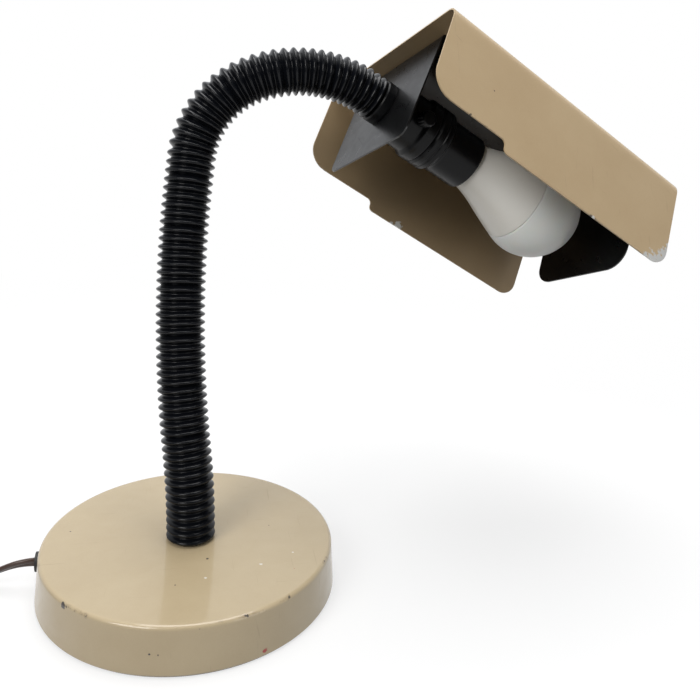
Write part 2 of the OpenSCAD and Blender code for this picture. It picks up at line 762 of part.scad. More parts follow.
// Aluminium board with its light-emitting chips
module led_board() {
    board_x = bulb_seam - 3;
    color("white") on_axis(board_x) {
        cylinder(r = seam_r - body_wall - 1.3, h = 1.5);
        for (i = [0:11]) rotate(30 * i) translate([17, -1.4, 1.5 - eps]) cube([2.8, 2.8, 0.7]);
    }
}

// Cord

// The stretch on the table, as points in millimetres
cord_lay = [
    [-72, 0, cord_hole_z], [-77, 0, cord_hole_z], [-82, 0, 15.3], [-87, 0.6, 14.2], [-92, 1.6, 12.2], [-98, 3, 9.2],
    [-104, 4.6, 6.2], [-110, 6.4, 4], [-117, 8.6, 2.9], [-125, 11, 2.5], [-134, 13.4, 2.4],
    [-144, 15.8, 2.4], [-154, 17.8, 2.4], [-164, 19.2, 2.4], [-173.8, 19.5, 2.4]];
cord_route = [for (p = cord_lay) p + [cord_shift, 0, 0]];
plug_lay = [
    [-174.2, 19.5, 12.9], [-184, 19.2, 12.4], [-194, 17.8, 11], [-204, 15.4, 9.2],
    [-213, 13, 8], [-221, 11, 7.6]];
plug_route = [for (p = plug_lay) p + [cord_shift, 0, 0]];
// How far along its route the flat cord has twisted from upright to lying
TWIST_POINTS = 7;
CORD_SIDES = 8;
module flat_cord(points, upright) {
    skin([for (i = [0:len(points) - 1])
        let (t = path_tangent(points, i), flat = unit(cross([0, 0, 1], t)), up = cross(t, flat),
             a = upright * 90 * max(0, 1 - i / TWIST_POINTS),
             wide = flat * cos(a) + up * sin(a), thin = cross(t, wide))
        ring(points[i], wide * cord_w / 2, thin * cord_t / 2, CORD_SIDES)]);
}
module cord_stretch() {
    color("saddlebrown") {
        flat_cord(cord_route, 1);
        flat_cord(plug_route, 0);
    }
}

// The coil: four layers that spiral in and out at a steady rate, and climb a
// layer in the half turn where the spiral reverses
COIL_LAYERS = 4;
LAYER_TURNS = 2.25;
LOOP_RINGS = 24;
coil_centre = [-174 + cord_shift, -16];
coil_out_r = 35.5;
coil_step = cord_w + 0.8;
coil_rise = cord_t + 0.7;
coil_z = 2.4;
coil_turns = COIL_LAYERS * LAYER_TURNS;
function coil_r(t) =
    let (layer = floor(t / LAYER_TURNS), into = t - layer * LAYER_TURNS,
         inward = layer % 2 == 0)
    coil_out_r - coil_step * (inward ? into : LAYER_TURNS - into);
function coil_height(t) =
    let (edge = round(t / LAYER_TURNS), near = t - edge * LAYER_TURNS)
    coil_z + coil_rise * (edge <= 0 ? 0 : edge >= COIL_LAYERS ? COIL_LAYERS - 1 :
        edge - 1 + min(1, max(0, (near + 0.25) / 0.5)));
function coil_ring(t) =
    let (a = 90 + 360 * t, out = [cos(a), sin(a), 0], r = coil_r(t))
    ring([coil_centre[0], coil_centre[1], coil_height(t)] + r * out,
        -out * cord_w / 2, [0, 0, cord_t / 2], 6);
module cord_coil() {
    color("saddlebrown")
        skin([for (i = [0:coil_turns * LOOP_RINGS]) coil_ring(i / LOOP_RINGS)]);
}
// Least gap between two passes at one angle, in shares of the cord's oval
coil_gap = min([for (i = [0:coil_turns * LOOP_RINGS - LOOP_RINGS],
    j = [i + LOOP_RINGS:LOOP_RINGS:coil_turns * LOOP_RINGS - 1])
    let (a = i / LOOP_RINGS, b = j / LOOP_RINGS)
    norm([(coil_r(a) - coil_r(b)) / cord_w, (coil_height(a) - coil_height(b)) / cord_t])]);
echo(least_coil_gap_mm = (coil_gap - 1) * cord_t);
cord_total = coil_turns * 2 * PI * (coil_out_r - coil_step * LAYER_TURNS / 2);
echo(coil_length_mm = cord_total);

// A strap round the whole winding
tie_t = 0.8;
tie_w = 8;
module coil_tie() {
    in_r = coil_out_r - coil_step * LAYER_TURNS - cord_w / 2 - air;
    out_r = coil_out_r + cord_w / 2 + air;
    top = coil_z + (COIL_LAYERS - 1) * coil_rise + cord_t / 2 + air;
    bottom = coil_z - cord_t / 2 - air / 2;
    color([0.05, 0.05, 0.05]) translate([coil_centre[0], coil_centre[1], 0]) rotate(-45) difference() {
        translate([in_r - tie_t, -tie_w / 2, bottom - tie_t])
            cube([out_r - in_r + 2 * tie_t, tie_w, top - bottom + 2 * tie_t]);
        translate([in_r, -tie_w, bottom]) cube([out_r - in_r, 2 * tie_w, top - bottom]);
    }
}

// Two-blade plug lying on the table
plug_at = plug_route[len(plug_route) - 1];
plug_step = plug_at - plug_route[len(plug_route) - 2];
module at_plug() {
    translate(plug_at) rotate(atan2(plug_step[1], plug_step[0])) children();
}
module plug_body() {
    color([0.2, 0.12, 0.08]) at_plug() translate([0, 0, -7.6]) difference() {
        linear_extrude(15.2) polygon(rounded([[0.1, -4, 1], [8, -6.5, 2], [12, -11.5, 2],
            [27, -11.5, 2], [27, 11.5, 2], [12, 11.5, 2], [8, 6.5, 2], [0.1, 4, 1]]));
        for (s = [-1, 1]) translate([20, s * 6.35 - 3.2 - fit, 7.6 - 0.8 - fit])
            cube([10, 6.4 + 2 * fit, 1.6 + 2 * fit]);
    }
}
module plug_blades() {
    color("goldenrod") at_plug() for (s = [-1, 1])
        translate([20.2, s * 6.35 - 3.2, -0.8]) cube([22, 6.4, 1.6]);
}

base_shell();
base_weight();
base_pad();
cord_grommet();
neck_nipple();
base_washer();
base_nut();
base_lead();
for (k = link_numbers) {
    sleeve(k);
    link(k);
}
neck_lead();
neck_ferrule();
head_nipple();
head_nut();
shade_hood();
shade_liner();
hood_rivets();
socket_cap();
socket_shell();
socket_core();
screw_shell();
centre_contact();
terminal_screws();
head_leads();
switch_knob();
switch_rotor();
bulb_body();
bulb_diffuser();
bulb_screw_cap();
bulb_tip();
led_board();
cord_stretch();
cord_coil();
coil_tie();
plug_body();
plug_blades();
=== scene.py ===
"""Gooseneck desk lamp: its visible pieces, finishes, lights and camera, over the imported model."""

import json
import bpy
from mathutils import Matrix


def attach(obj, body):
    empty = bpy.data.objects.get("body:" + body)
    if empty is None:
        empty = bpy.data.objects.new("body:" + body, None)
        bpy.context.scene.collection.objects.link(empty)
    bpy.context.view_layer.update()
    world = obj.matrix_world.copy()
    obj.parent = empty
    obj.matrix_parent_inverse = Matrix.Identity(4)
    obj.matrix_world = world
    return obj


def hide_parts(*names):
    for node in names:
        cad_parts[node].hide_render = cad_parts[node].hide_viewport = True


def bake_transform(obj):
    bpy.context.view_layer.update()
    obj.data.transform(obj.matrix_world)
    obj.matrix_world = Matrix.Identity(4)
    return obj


bl_info = {
    "name": "Gooseneck desk lamp",
    "version": (1, 0, 0),
    "blender": (4, 5, 0),
    "location": "View3D > Sidebar > Desk Lamp",
    "description": "Desk lamp with a round base, a ribbed neck and a folded steel shade",
    "category": "Add Mesh",
}

import bmesh
import bpy
import numpy as np
from bpy.props import FloatProperty, FloatVectorProperty, PointerProperty
from mathutils import Matrix

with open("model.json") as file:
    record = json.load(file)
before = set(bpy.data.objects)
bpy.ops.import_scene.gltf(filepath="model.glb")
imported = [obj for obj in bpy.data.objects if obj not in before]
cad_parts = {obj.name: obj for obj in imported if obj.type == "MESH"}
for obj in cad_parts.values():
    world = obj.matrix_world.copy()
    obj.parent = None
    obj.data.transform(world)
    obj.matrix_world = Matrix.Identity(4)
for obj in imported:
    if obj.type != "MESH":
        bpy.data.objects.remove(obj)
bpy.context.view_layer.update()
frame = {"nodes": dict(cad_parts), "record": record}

# Lengths below are in millimetres, and meshes are written in metres
MM = 0.001
BASE_H = 24.5
# Hole of the base cover and the ferrule for the threaded tube
BORE_R = 5.05
# The neck's joints: how many, the first one's place from the base and the last one's from the bends' end
JOINTS = 12
FIRST_JOINT = 15.0
LAST_JOINT = 9.0
# Length, angle and heading in degrees of each arc of the neck, and of the straight ferrule
FERRULE_L = 12
BENDS = ((48, 13, 120), (155, 13, 0), (53, 60, -9), (66, 55.5, 17), (FERRULE_L, 0, 0))
NECK_L = sum(bend[0] for bend in BENDS)
CURVED_L = NECK_L - FERRULE_L
# The ribs cover the ferrule's first half
RIBBED_L = NECK_L - FERRULE_L / 2
# Turn of the shade about the neck's end, in degrees
SHADE_TURN = 69.5


# Settings


def length_setting(name, description, default):
    """A length in metres that the panel shows."""
    return FloatProperty(name=name, description=description, default=default, unit="LENGTH")


def colour_setting(name, description, default):
    """A colour that the panel shows."""
    return FloatVectorProperty(
        name=name, description=description, default=(*default, 1), size=4, subtype="COLOR")


class LampSizes(bpy.types.PropertyGroup):
    """Sizes of the pieces that the scene makes"""

    base_bottom_d: length_setting("Base width", "Width of the base at the table", 0.154)
    base_top_d: length_setting("Base top width", "Width of the base at its top", 0.150)
    sleeve_d: length_setting("Sleeve width", "Width of the ribbed sleeve at its crests", 0.0254)
    rib_depth: length_setting("Rib depth", "Depth of the grooves between the ribs", 0.0024)
    shade_w: length_setting("Shade width", "Width of the shade at its top", 0.127)
    shade_l: length_setting("Shade length", "Length of the shade", 0.176)
    shade_h: length_setting("Shade height", "Height of the side panels", 0.059)
    shade_back_h: length_setting("Back height", "Height of the side panels at the back", 0.0525)
    shade_rise: length_setting("Shade rise", "Height of the shade's top above the lamp holder", 0.0323)
    bulb_d: length_setting("Bulb width", "Width of the bulb's globe", 0.060)


class LampColours(bpy.types.PropertyGroup):
    """Colours of the finishes"""

    enamel: colour_setting("Enamel", "Tan enamel of the base", (0.480, 0.386, 0.240))
    enamel_dark: colour_setting("Enamel, aged", "Darker tone of aged enamel", (0.428, 0.336, 0.203))
    shade: colour_setting("Shade enamel", "Warmer tan enamel of the shade", (0.505, 0.378, 0.222))
    shade_dark: colour_setting("Shade enamel, aged", "Darker tone of the shade", (0.455, 0.330, 0.186))
    sleeve: colour_setting("Sleeve", "Black vinyl of the ribbed sleeve", (0.0040, 0.0047, 0.0068))
    cord: colour_setting("Cord", "Brown vinyl of the cord", (0.060, 0.028, 0.015))
    bulb: colour_setting("Bulb body", "White moulding of the bulb", (0.90, 0.89, 0.845))
    diffuser: colour_setting("Bulb globe", "Frosted globe of the bulb", (0.90, 0.90, 0.88))


def sizes():
    """The sizes that the panel shows."""
    return bpy.context.scene.lamp_sizes


def colours():
    """The colours that the panel shows."""
    return bpy.context.scene.lamp_colours


# The neck's line and the head's frame


def turned(v, k, angle):
    """v turned about the unit axis k: v cos a + (k x v) sin a + k (k.v)(1 - cos a)."""
    a = np.asarray(angle, float)[..., None]
    return v * np.cos(a) + np.cross(k, v) * np.sin(a) + k * np.sum(v * k, -1, keepdims=True) * (1 - np.cos(a))


def along_arc(f, length, d, angle, heading):
    """The frame (p, u, v, t) carried the distances d along an arc: p + r sin(a) t + r (1 - cos a) n,
    where n is the heading in the plane of u and v, and the three axes turn by a about n's partner k."""
    p, u, v, t = f
    h = np.radians(heading)
    n = np.cos(h) * u + np.sin(h) * v
    k = -np.sin(h) * u + np.cos(h) * v
    a = np.radians(angle) * d / length
    if angle == 0:
        q = p + d[:, None] * t
    else:
        r = length / np.radians(angle)
        q = p + r * np.sin(a)[:, None] * t + r * (1 - np.cos(a))[:, None] * n
    return q, turned(u, k, a), turned(v, k, a), turned(t, k, a)


def neck_line(s):
    """Frames (p, u, v, t) at the distances s along the neck: the arcs of BENDS, one after the other."""
    s = np.atleast_1d(np.asarray(s, float))
    out = [np.zeros((len(s), 3)) for _ in range(4)]
    f = (np.array([0, 0, BASE_H]), np.array([1.0, 0, 0]), np.array([0, 1.0, 0]), np.array([0, 0, 1.0]))
    start = 0.0
    for length, angle, heading in BENDS:
        on = s >= start - 1e-9
        for whole, part in zip(out, along_arc(f, length, s[on] - start, angle, heading)):
            whole[on] = part
        f = tuple(w[0] for w in along_arc(f, length, np.array([float(length)]), angle, heading))
        start += length
    return out


def joint_s(k):
    """Distance of joint k along the neck, with equal steps between the first and the last."""
    return FIRST_JOINT + (k - 1) * (CURVED_L - FIRST_JOINT - LAST_JOINT) / (JOINTS - 1)


# The head's frame: its origin at the neck's end, x ahead, y down into the shade and z across
NECK_END = [axis[0] for axis in neck_line([NECK_L])]
HEAD_P = NECK_END[0]
HEAD_X = NECK_END[3]
HEAD_Z = turned(NECK_END[1], HEAD_X, np.radians(SHADE_TURN))
HEAD_Y = np.cross(HEAD_Z, HEAD_X)
HEAD_AXES = np.array([HEAD_X, HEAD_Y, HEAD_Z])


def at_head(q):
    """Points q, in the head's x, y and z, in the lamp's frame."""
    return HEAD_P + np.asarray(q, float) @ HEAD_AXES


def on_head_axis(q):
    """Height along the head's x, and the circle in its z and y."""
    return at_head(np.stack([q[..., 2], q[..., 1], q[..., 0]], -1))


# Curves and waves


def eased(x):
    """The smooth step 3x^2 - 2x^3 between 0 and 1."""
    x = np.clip(x, 0, 1)
    return x * x * (3 - 2 * x)


def swell(x):
    """A wave that is 0 at whole numbers and 1 halfway between them: (1 - cos 2 pi x) / 2."""
    return 0.5 - 0.5 * np.cos(2 * np.pi * x)


def signed_power(x, power):
    """The size of x to a power, with the sign of x. It makes a circle's cos and sin into a rounded box."""
    return np.sign(x) * np.abs(x) ** power


def arc_drop(e, r):
    """How far an arc of radius r has turned in at the distance e from its start: r - sqrt(r^2 - e^2)."""
    e = np.clip(e, 0, r)
    return r - np.sqrt(r ** 2 - e ** 2)


def running_mean(values, n):
    """Means of each n neighbouring values."""
    return np.convolve(values, np.ones(n) / n, "valid")


def ring_angles(sides):
    """Equal steps of angle round a circle."""
    return np.arange(sides) * 2 * np.pi / sides


def tangents(points):
    """Unit tangents of a path, from each point's two neighbours."""
    t = np.gradient(points, axis=0)
    return t / np.linalg.norm(t, axis=1, keepdims=True)


def rounded_path(corners, steps=8):
    """Points along corners (x, y, radius): each corner becomes an arc that touches both its sides."""
    out = []
    n = len(corners)
    for i, (x, y, r) in enumerate(corners):
        p = np.array([x, y], float)
        if r == 0 or i in (0, n - 1):
            out.append(p[None])
            continue
        d1 = np.array(corners[i - 1][:2], float) - p
        d2 = np.array(corners[i + 1][:2], float) - p
        d1, d2 = d1 / np.linalg.norm(d1), d2 / np.linalg.norm(d2)
        half = np.arccos(np.clip(d1 @ d2, -1, 1)) / 2
        m = p + (d1 + d2) / np.linalg.norm(d1 + d2) * r / np.sin(half)
        v1, v2 = p + d1 * r / np.tan(half) - m, p + d2 * r / np.tan(half) - m
        w = np.linspace(0, 1, steps + 1)[:, None]
        turn = np.pi - 2 * half
        out.append(m + (v1 * np.sin((1 - w) * turn) + v2 * np.sin(w * turn)) / np.sin(turn))
    return np.concatenate(out)


def dense(path, step):
    """The path with points added on long straight runs, no further apart than step."""
    out = [path[:1]]
    for a, b in zip(path[:-1], path[1:]):
        n = max(1, int(np.ceil(np.linalg.norm(b - a) / step)))
        out.append(a + (b - a) * (np.arange(1, n + 1) / n)[:, None])
    return np.concatenate(out)


# Mesh making

# The ways in which a grid of points closes on itself: along it, and round it
SHEET = (False, False)
TUBE = (False, True)
LOOP = (True, True)


def grid_quads(n, m, wrap_n, wrap_m):
    """Corner numbers of the cells of an n by m grid, which may close on itself either way."""
    i, j = np.meshgrid(np.arange(n if wrap_n else n - 1), np.arange(m if wrap_m else m - 1), indexing="ij")
    a, b = (i + 1) % n, (j + 1) % m
    return np.stack([i * m + j, a * m + j, a * m + b, i * m + b], -1).reshape(-1, 4)


def surface(name, grid, closes, material, rim=None, sharp=38.0):
    """A mesh from a grid of points (n, m, 3, in mm). Rows that shrink to a point are merged, so poles
    close. rim is a value for each point, kept as the attribute "rim". An edge that turns by more than
    sharp degrees is a sharp one."""
    mesh = bpy.data.meshes.new(name)
    quads = grid_quads(grid.shape[0], grid.shape[1], *closes)
    mesh.from_pydata((grid.reshape(-1, 3) * MM).tolist(), [], quads.tolist())
    if rim is not None:
        values = np.asarray(rim, np.float32).ravel()
        mesh.attributes.new("rim", "FLOAT", "POINT").data.foreach_set("value", values)
    bm = bmesh.new()
    bm.from_mesh(mesh)
    bmesh.ops.remove_doubles(bm, verts=bm.verts, dist=1e-6)
    bmesh.ops.dissolve_degenerate(bm, edges=bm.edges, dist=1e-7)
    bmesh.ops.recalc_face_normals(bm, faces=bm.faces)
    bm.to_mesh(mesh)
    bm.free()
    mesh.shade_smooth()
    if sharp is not None:
        mesh.set_sharp_from_angle(angle=np.radians(sharp))
    mesh.materials.append(material)
    piece = bpy.data.objects.new(name, mesh)
    bpy.context.scene.collection.objects.link(piece)
    return piece


def place_piece(piece, body, slot, *nodes):
    """The piece rides on a body and stands for these nodes; slot is not used."""
    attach(piece, body)
    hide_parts(*nodes)
    return piece


def turned_grid(profile, sides, place=None, wave=None):
    """A turned shape: each profile point (radius, height) becomes a circle, (r cos a, r sin a, h), whose
    radius may vary with a by wave(r, h, a). place puts the points in the lamp's frame."""
    a = ring_angles(sides)
    r = np.repeat(profile[:, :1], sides, 1)
    h = np.repeat(profile[:, 1:2], sides, 1)
    if wave is not None:
        r = wave(r, h, a[None])
    points = np.stack([r * np.cos(a), r * np.sin(a), h], -1)
    return points if place is None else place(points)


def circles(u, v, sides):
    """Unit circles round a line, one at each point: u cos a + v sin a."""
    a = ring_angles(sides)
    return u[:, None] * np.cos(a)[None, :, None] + v[:, None] * np.sin(a)[None, :, None]


def capped(rings, line):
    """The rings of a tube, with the line's first and last points as the poles that close its ends."""
    first, last = (np.repeat(line[i][None, None], rings.shape[1], 1) for i in (0, -1))
    return np.concatenate([first, rings, last])


# Nodes


def feed(tree, socket, value):
    """Link a socket from another one, or set its value."""
    if isinstance(value, bpy.types.NodeSocket):
        tree.links.new(value, socket)
    else:
        socket.default_value = value


def add_node(tree, kind, inputs=None, **settings):
    """A node with its settings and its inputs, which are keyed by name or number."""
    node = tree.nodes.new(kind)
    for key, value in settings.items():
        setattr(node, key, value)
    for key, value in (inputs or {}).items():
        feed(tree, node.inputs[key], value)
    return node


def maths(tree, operation, a, b=0.0, clamp=False):
    """A maths node's value. a and b are sockets or numbers."""
    return add_node(tree, "ShaderNodeMath", {0: a, 1: b}, operation=operation, use_clamp=clamp).outputs[0]


def times(tree, a, b):
    """The product of two values."""
    return maths(tree, "MULTIPLY", a, b)


def plus(tree, a, b, clamp=False):
    """The sum of two values, held between 0 and 1 if asked."""
    return maths(tree, "ADD", a, b, clamp)


def highest(tree, a, b):
    """The higher of two values, where the first may still be missing."""
    return b if a is None else maths(tree, "MAXIMUM", a, b)


def mapped(tree, value, low, high, to_low=0.0, to_high=1.0):
    """The value carried from the range low to high to another range, and held inside it."""
    inputs = {0: value, 1: low, 2: high, 3: to_low, 4: to_high}
    return add_node(tree, "ShaderNodeMapRange", inputs).outputs[0]


def mix_colour(tree, factor, a, b):
    """Colour a where the factor is 0 and colour b where it is 1."""
    return add_node(tree, "ShaderNodeMix", {0: factor, 6: a, 7: b}, data_type="RGBA").outputs[2]


def noise(tree, where, scale, detail, **more):
    """The value of a noise texture."""
    inputs = {"Vector": where, "Scale": scale, "Detail": detail, **more}
    return add_node(tree, "ShaderNodeTexNoise", inputs).outputs[0]


def new_group(name, outputs, **inputs):
    """A shader node group: the names of its outputs, which are values, and the defaults of its inputs, where
    None stands for a vector. Gives the tree, the sockets to read from and the sockets to feed."""
    tree = bpy.data.node_groups.new(name, "ShaderNodeTree")
    for label, default in inputs.items():
        kind = "NodeSocketVector" if default is None else "NodeSocketFloat"
        socket = tree.interface.new_socket(label, in_out="INPUT", socket_type=kind)
        if default is not None:
            socket.default_value = default
    for label in outputs:
        tree.interface.new_socket(label, in_out="OUTPUT", socket_type="NodeSocketFloat")
    return tree, tree.nodes.new("NodeGroupInput").outputs, tree.nodes.new("NodeGroupOutput").inputs


def use_group(tree, name, **inputs):
    """The outputs of a node group placed in a material."""
    node = tree.nodes.new("ShaderNodeGroup")
    node.node_tree = bpy.data.node_groups[name]
    for key, value in inputs.items():
        feed(tree, node.inputs[key], value)
    return node.outputs


def grain_group():
    """Slow and fine noise that vary the tone, roughness and height of a finish."""
    outputs = ("Tone", "Smear", "Height")
    tree, given, made = new_group("Finish grain", outputs, Vector=None, Fine=900.0, Slow=35.0)
    slow = noise(tree, given["Vector"], given["Slow"], 5.0, Roughness=0.6)
    fine = noise(tree, given["Vector"], given["Fine"], 3.0)
    smear_scale = times(tree, given["Slow"], 2.7)
    smear = noise(tree, given["Vector"], smear_scale, 6.0, Distortion=1.2)
    tone = plus(tree, times(tree, slow, 0.75), times(tree, fine, 0.25))
    feed(tree, made["Tone"], mapped(tree, tone, 0.3, 0.7))
    feed(tree, made["Smear"], mapped(tree, smear, 0.3, 0.75))
    feed(tree, made["Height"], fine)


def wear_group():
    """Chips where the attribute rim is high and broken noise passes a threshold, and a halo round them."""
    tree, given, made = new_group("Edge wear", ("Chip", "Halo"), Vector=None, Rim=0.0, Amount=0.5)
    ragged = noise(tree, given["Vector"], 160.0, 6.0, Roughness=0.7)
    patches = noise(tree, given["Vector"], 28.0, 2.0)
    both = plus(tree, times(tree, ragged, 0.55), times(tree, patches, 0.45))
    reach = times(tree, given["Rim"], times(tree, given["Amount"], 0.36))
    total = plus(tree, both, reach)
    feed(tree, made["Chip"], mapped(tree, total, 0.735, 0.75))
    feed(tree, made["Halo"], mapped(tree, total, 0.68, 0.74))


def spot_group():
    """One ragged spot round a centre: 1 inside the radius, which noise makes uneven."""
    tree, given, made = new_group("Ragged spot", ("Spot",), Vector=None, Centre=None, Radius=0.001)
    uneven = plus(tree, times(tree, noise(tree, given["Vector"], 420.0, 4.0), 3.0), -0.5)
    points = {0: given["Vector"], 1: given["Centre"]}
    away = add_node(tree, "ShaderNodeVectorMath", points, operation="DISTANCE").outputs["Value"]
    share = maths(tree, "DIVIDE", away, times(tree, given["Radius"], uneven))
    feed(tree, made["Spot"], mapped(tree, share, 1.15, 0.85))


def scratch_group():
    """Fine scratches: two noises, each stretched along one direction and cut to thin lines."""
    tree, given, made = new_group("Fine scratches", ("Scratch",), Vector=None, Density=0.5)
    total = None
    for turn, scale in ((0.4, (40.0, 900.0, 40.0)), (-0.9, (700.0, 30.0, 60.0))):
        inputs = {"Vector": given["Vector"], "Rotation": (turn, 0.2, turn), "Scale": scale}
        place = add_node(tree, "ShaderNodeMapping", inputs).outputs[0]
        line = mapped(tree, noise(tree, place, 1.0, 2.0), 0.70, 0.76)
        total = highest(tree, total, times(tree, line, given["Density"]))
    feed(tree, made["Scratch"], total)


# Finishes

# Tones under and on the enamel
HALO_TONE = (0.20, 0.145, 0.09, 1)
SCRATCH_TONE = (0.26, 0.21, 0.14, 1)
CHIP_TONE = (0.055, 0.048, 0.042, 1)
MARK_TONES = {
    "dark": (0.045, 0.036, 0.03, 1),
    "steel": (0.66, 0.655, 0.63, 1),
    "white": (0.66, 0.63, 0.56, 1),
    "red": (0.35, 0.03, 0.02, 1),
}
# Aged and clean tone of the enamel inside the shade, both darker than the outside's tones as painted shade
# where little light reaches in
SHADED_INSIDE_TONES = ((0.262, 0.184, 0.098), (0.300, 0.215, 0.120))

# Marks of the base by their tone: the centre's x, y and z, and the radius
BASE_MARKS = {
    "dark": (
        (-57.2, -50, 22.8, 1.5), (-55.2, -52.2, 23.4, 1.1), (-53.4, -54, 23.6, 0.8),
        (-48.8, -58.3, 23.2, 0.8), (-47.6, -59.2, 23.6, 0.6), (4.3, -75.9, 23, 0.9),
        (-13.3, -74.8, 11.5, 0.7), (-17, -74.2, 11.8, 0.4), (8.5, -22.5, 24.5, 0.55),
        (-6.9, -43.1, 24.5, 0.45), (-62, 12, 24.5, 0.5), (42, 6, 24.5, 0.35)),
    "white": (
        (24.5, -71.8, 3.2, 0.5), (7.6, -39.2, 24.5, 0.75), (34.9, -30.7, 24.5, 0.65), (52, -22, 24.5, 0.5)),
    "red": ((34.2, -67.9, 3.5, 1.2),),
}
# Marks of the shade, whose centres are in the head's x, y and z
SHADE_MARKS = {
    "dark": ((26.7, -1, -64, 0.55), (18, 19.9, -64.6, 0.6)),
    "steel": (
        (158, 26.5, -64.6, 4.4), (163.5, 23.5, -64.6, 4.2), (166.5, 18, -64.5, 3.6), (152, 27.6, -64.7, 2.4),
        (168, 11, -64.3, 1.6), (66, 25.8, 64.7, 2.6), (61, 26.4, 64.7, 1.2), (109, 26.6, -64.7, 0.9)),
}

# Looks that plain_finish makes, by the slot or the name that a piece asks for. Where no colour is given,
# it comes from the panel's settings
PLAIN_LOOKS = {
    "iron": dict(name="Cast iron", colour=(0.10, 0.10, 0.10), dark=(0.05, 0.045, 0.04), rough=(0.7, 0.9),
                 fine=500.0, strength=0.8, distance=0.0004, Metallic=0.6),
    "pad": dict(name="Pad", colour=(0.022, 0.02, 0.018), dark=(0.012, 0.011, 0.01), rough=(0.8, 0.95),
                strength=0.5, Specular_IOR_Level=0.05),
    "sleeve": dict(name="Sleeve vinyl", dark=(0.0030, 0.0034, 0.0046), rough=(0.17, 0.27),
                   fine=1200.0, slow=60.0, strength=0.08, distance=0.00003, Specular_IOR_Level=0.20),
    "steel": dict(name="Zinc plate", colour=(0.60, 0.60, 0.57), dark=(0.42, 0.42, 0.40), rough=(0.25, 0.45),
                  Metallic=1.0),
    "black_paint": dict(name="Black paint", colour=(0.0042, 0.0044, 0.0050), dark=(0.0030, 0.0030, 0.0032),
                        rough=(0.26, 0.36), fine=1300.0, slow=40.0, strength=0.1, scratches=0.4),
    "phenolic": dict(name="Black moulding", colour=(0.0034, 0.0037, 0.0046), dark=(0.0026, 0.0028, 0.0033),
                     rough=(0.27, 0.36), fine=1600.0, slow=70.0, strength=0.04, Specular_IOR_Level=0.18),
    "collar": dict(name="Collar", colour=(0.0050, 0.0054, 0.0062), dark=(0.0040, 0.0042, 0.0046),
                   rough=(0.28, 0.40), fine=1500.0, slow=60.0, strength=0.06, Specular_IOR_Level=0.12),
    "insulator": dict(name="Insulator", colour=(0.70, 0.66, 0.56), dark=(0.58, 0.53, 0.43),
                      rough=(0.5, 0.65)),
    "brass": dict(name="Brass", colour=(0.78, 0.56, 0.25), dark=(0.55, 0.38, 0.16), rough=(0.22, 0.42),
                  scratches=0.6, Metallic=1.0),
    "bulb_cap": dict(name="Nickel plate", colour=(0.72, 0.71, 0.69), dark=(0.58, 0.57, 0.55),
                     rough=(0.2, 0.35), Metallic=1.0),
    "bulb_white": dict(name="Bulb body", dark=(0.87, 0.855, 0.80), rough=(0.30, 0.42),
                       fine=1400.0, slow=30.0, strength=0.06, Coat_Weight=0.15, Coat_Roughness=0.2),
    "diffuser": dict(name="Bulb globe", dark=(0.86, 0.86, 0.835), rough=(0.38, 0.50),
                     fine=1800.0, slow=26.0, strength=0.05, Subsurface_Weight=0.15, Subsurface_Scale=0.004),
    "board": dict(name="LED board", colour=(0.82, 0.82, 0.80), dark=(0.75, 0.74, 0.70), rough=(0.4, 0.5)),
    "cord": dict(name="Cord vinyl", dark=(0.040, 0.018, 0.010), rough=(0.28, 0.42),
                 fine=1500.0, slow=50.0, strength=0.15, Coat_Weight=0.15, Coat_Roughness=0.2),
    "plug": dict(name="Plug vinyl", colour=(0.058, 0.027, 0.015), dark=(0.038, 0.017, 0.009),
                 rough=(0.38, 0.55), fine=1100.0, slow=40.0, strength=0.3, scratches=0.4),
    "black_rubber": dict(name="Black rubber", colour=(0.016, 0.016, 0.016), dark=(0.010, 0.010, 0.010),
                         rough=(0.45, 0.6)),
}

# Filled by the first operator
FINISHES = {}


def rgba(colour):
    """A colour's first three values, with full opacity."""
    return (*tuple(colour)[:3], 1)


def new_finish(name, roughness, **shader):
    """A material with its Principled shader and Object coordinates. Values that are the same all over are
    set here, by the names of their sockets with _ for each space."""
    material = bpy.data.materials.new(name)
    material.use_nodes = True
    tree = material.node_tree
    principled = tree.nodes["Principled BSDF"]
    principled.inputs["Roughness"].default_value = roughness
    for key, value in shader.items():
        principled.inputs[key.replace("_", " ")].default_value = value
    where = tree.nodes.new("ShaderNodeTexCoord").outputs["Object"]
    return material, tree, principled.inputs, where


def bumped(tree, shader, height, strength, distance):
    """Turn a height into the shader's normal."""
    bump = add_node(tree, "ShaderNodeBump", {"Height": height, "Strength": strength, "Distance": distance})
    feed(tree, shader["Normal"], bump.outputs[0])


def plain_finish(name, colour, dark, rough, fine=900.0, slow=35.0, strength=0.25, distance=0.00004,
                 scratches=0.0, **values):
    """A finish whose tone, roughness and height follow the grain group, with fine scratches if asked."""
    material, tree, shader, where = new_finish(name, rough[0], **values)
    grain = use_group(tree, "Finish grain", Vector=where, Fine=fine, Slow=slow)
    tone = mix_colour(tree, grain["Tone"], rgba(dark), rgba(colour))
    smear = mapped(tree, grain["Smear"], 0.0, 1.0, rough[0], rough[1])
    if scratches:
        lines = use_group(tree, "Fine scratches", Vector=where, Density=scratches)["Scratch"]
        smear = plus(tree, smear, times(tree, lines, 0.25), clamp=True)
    feed(tree, shader["Base Color"], tone)
    feed(tree, shader["Roughness"], smear)
    bumped(tree, shader, grain["Height"], strength, distance)
    return material


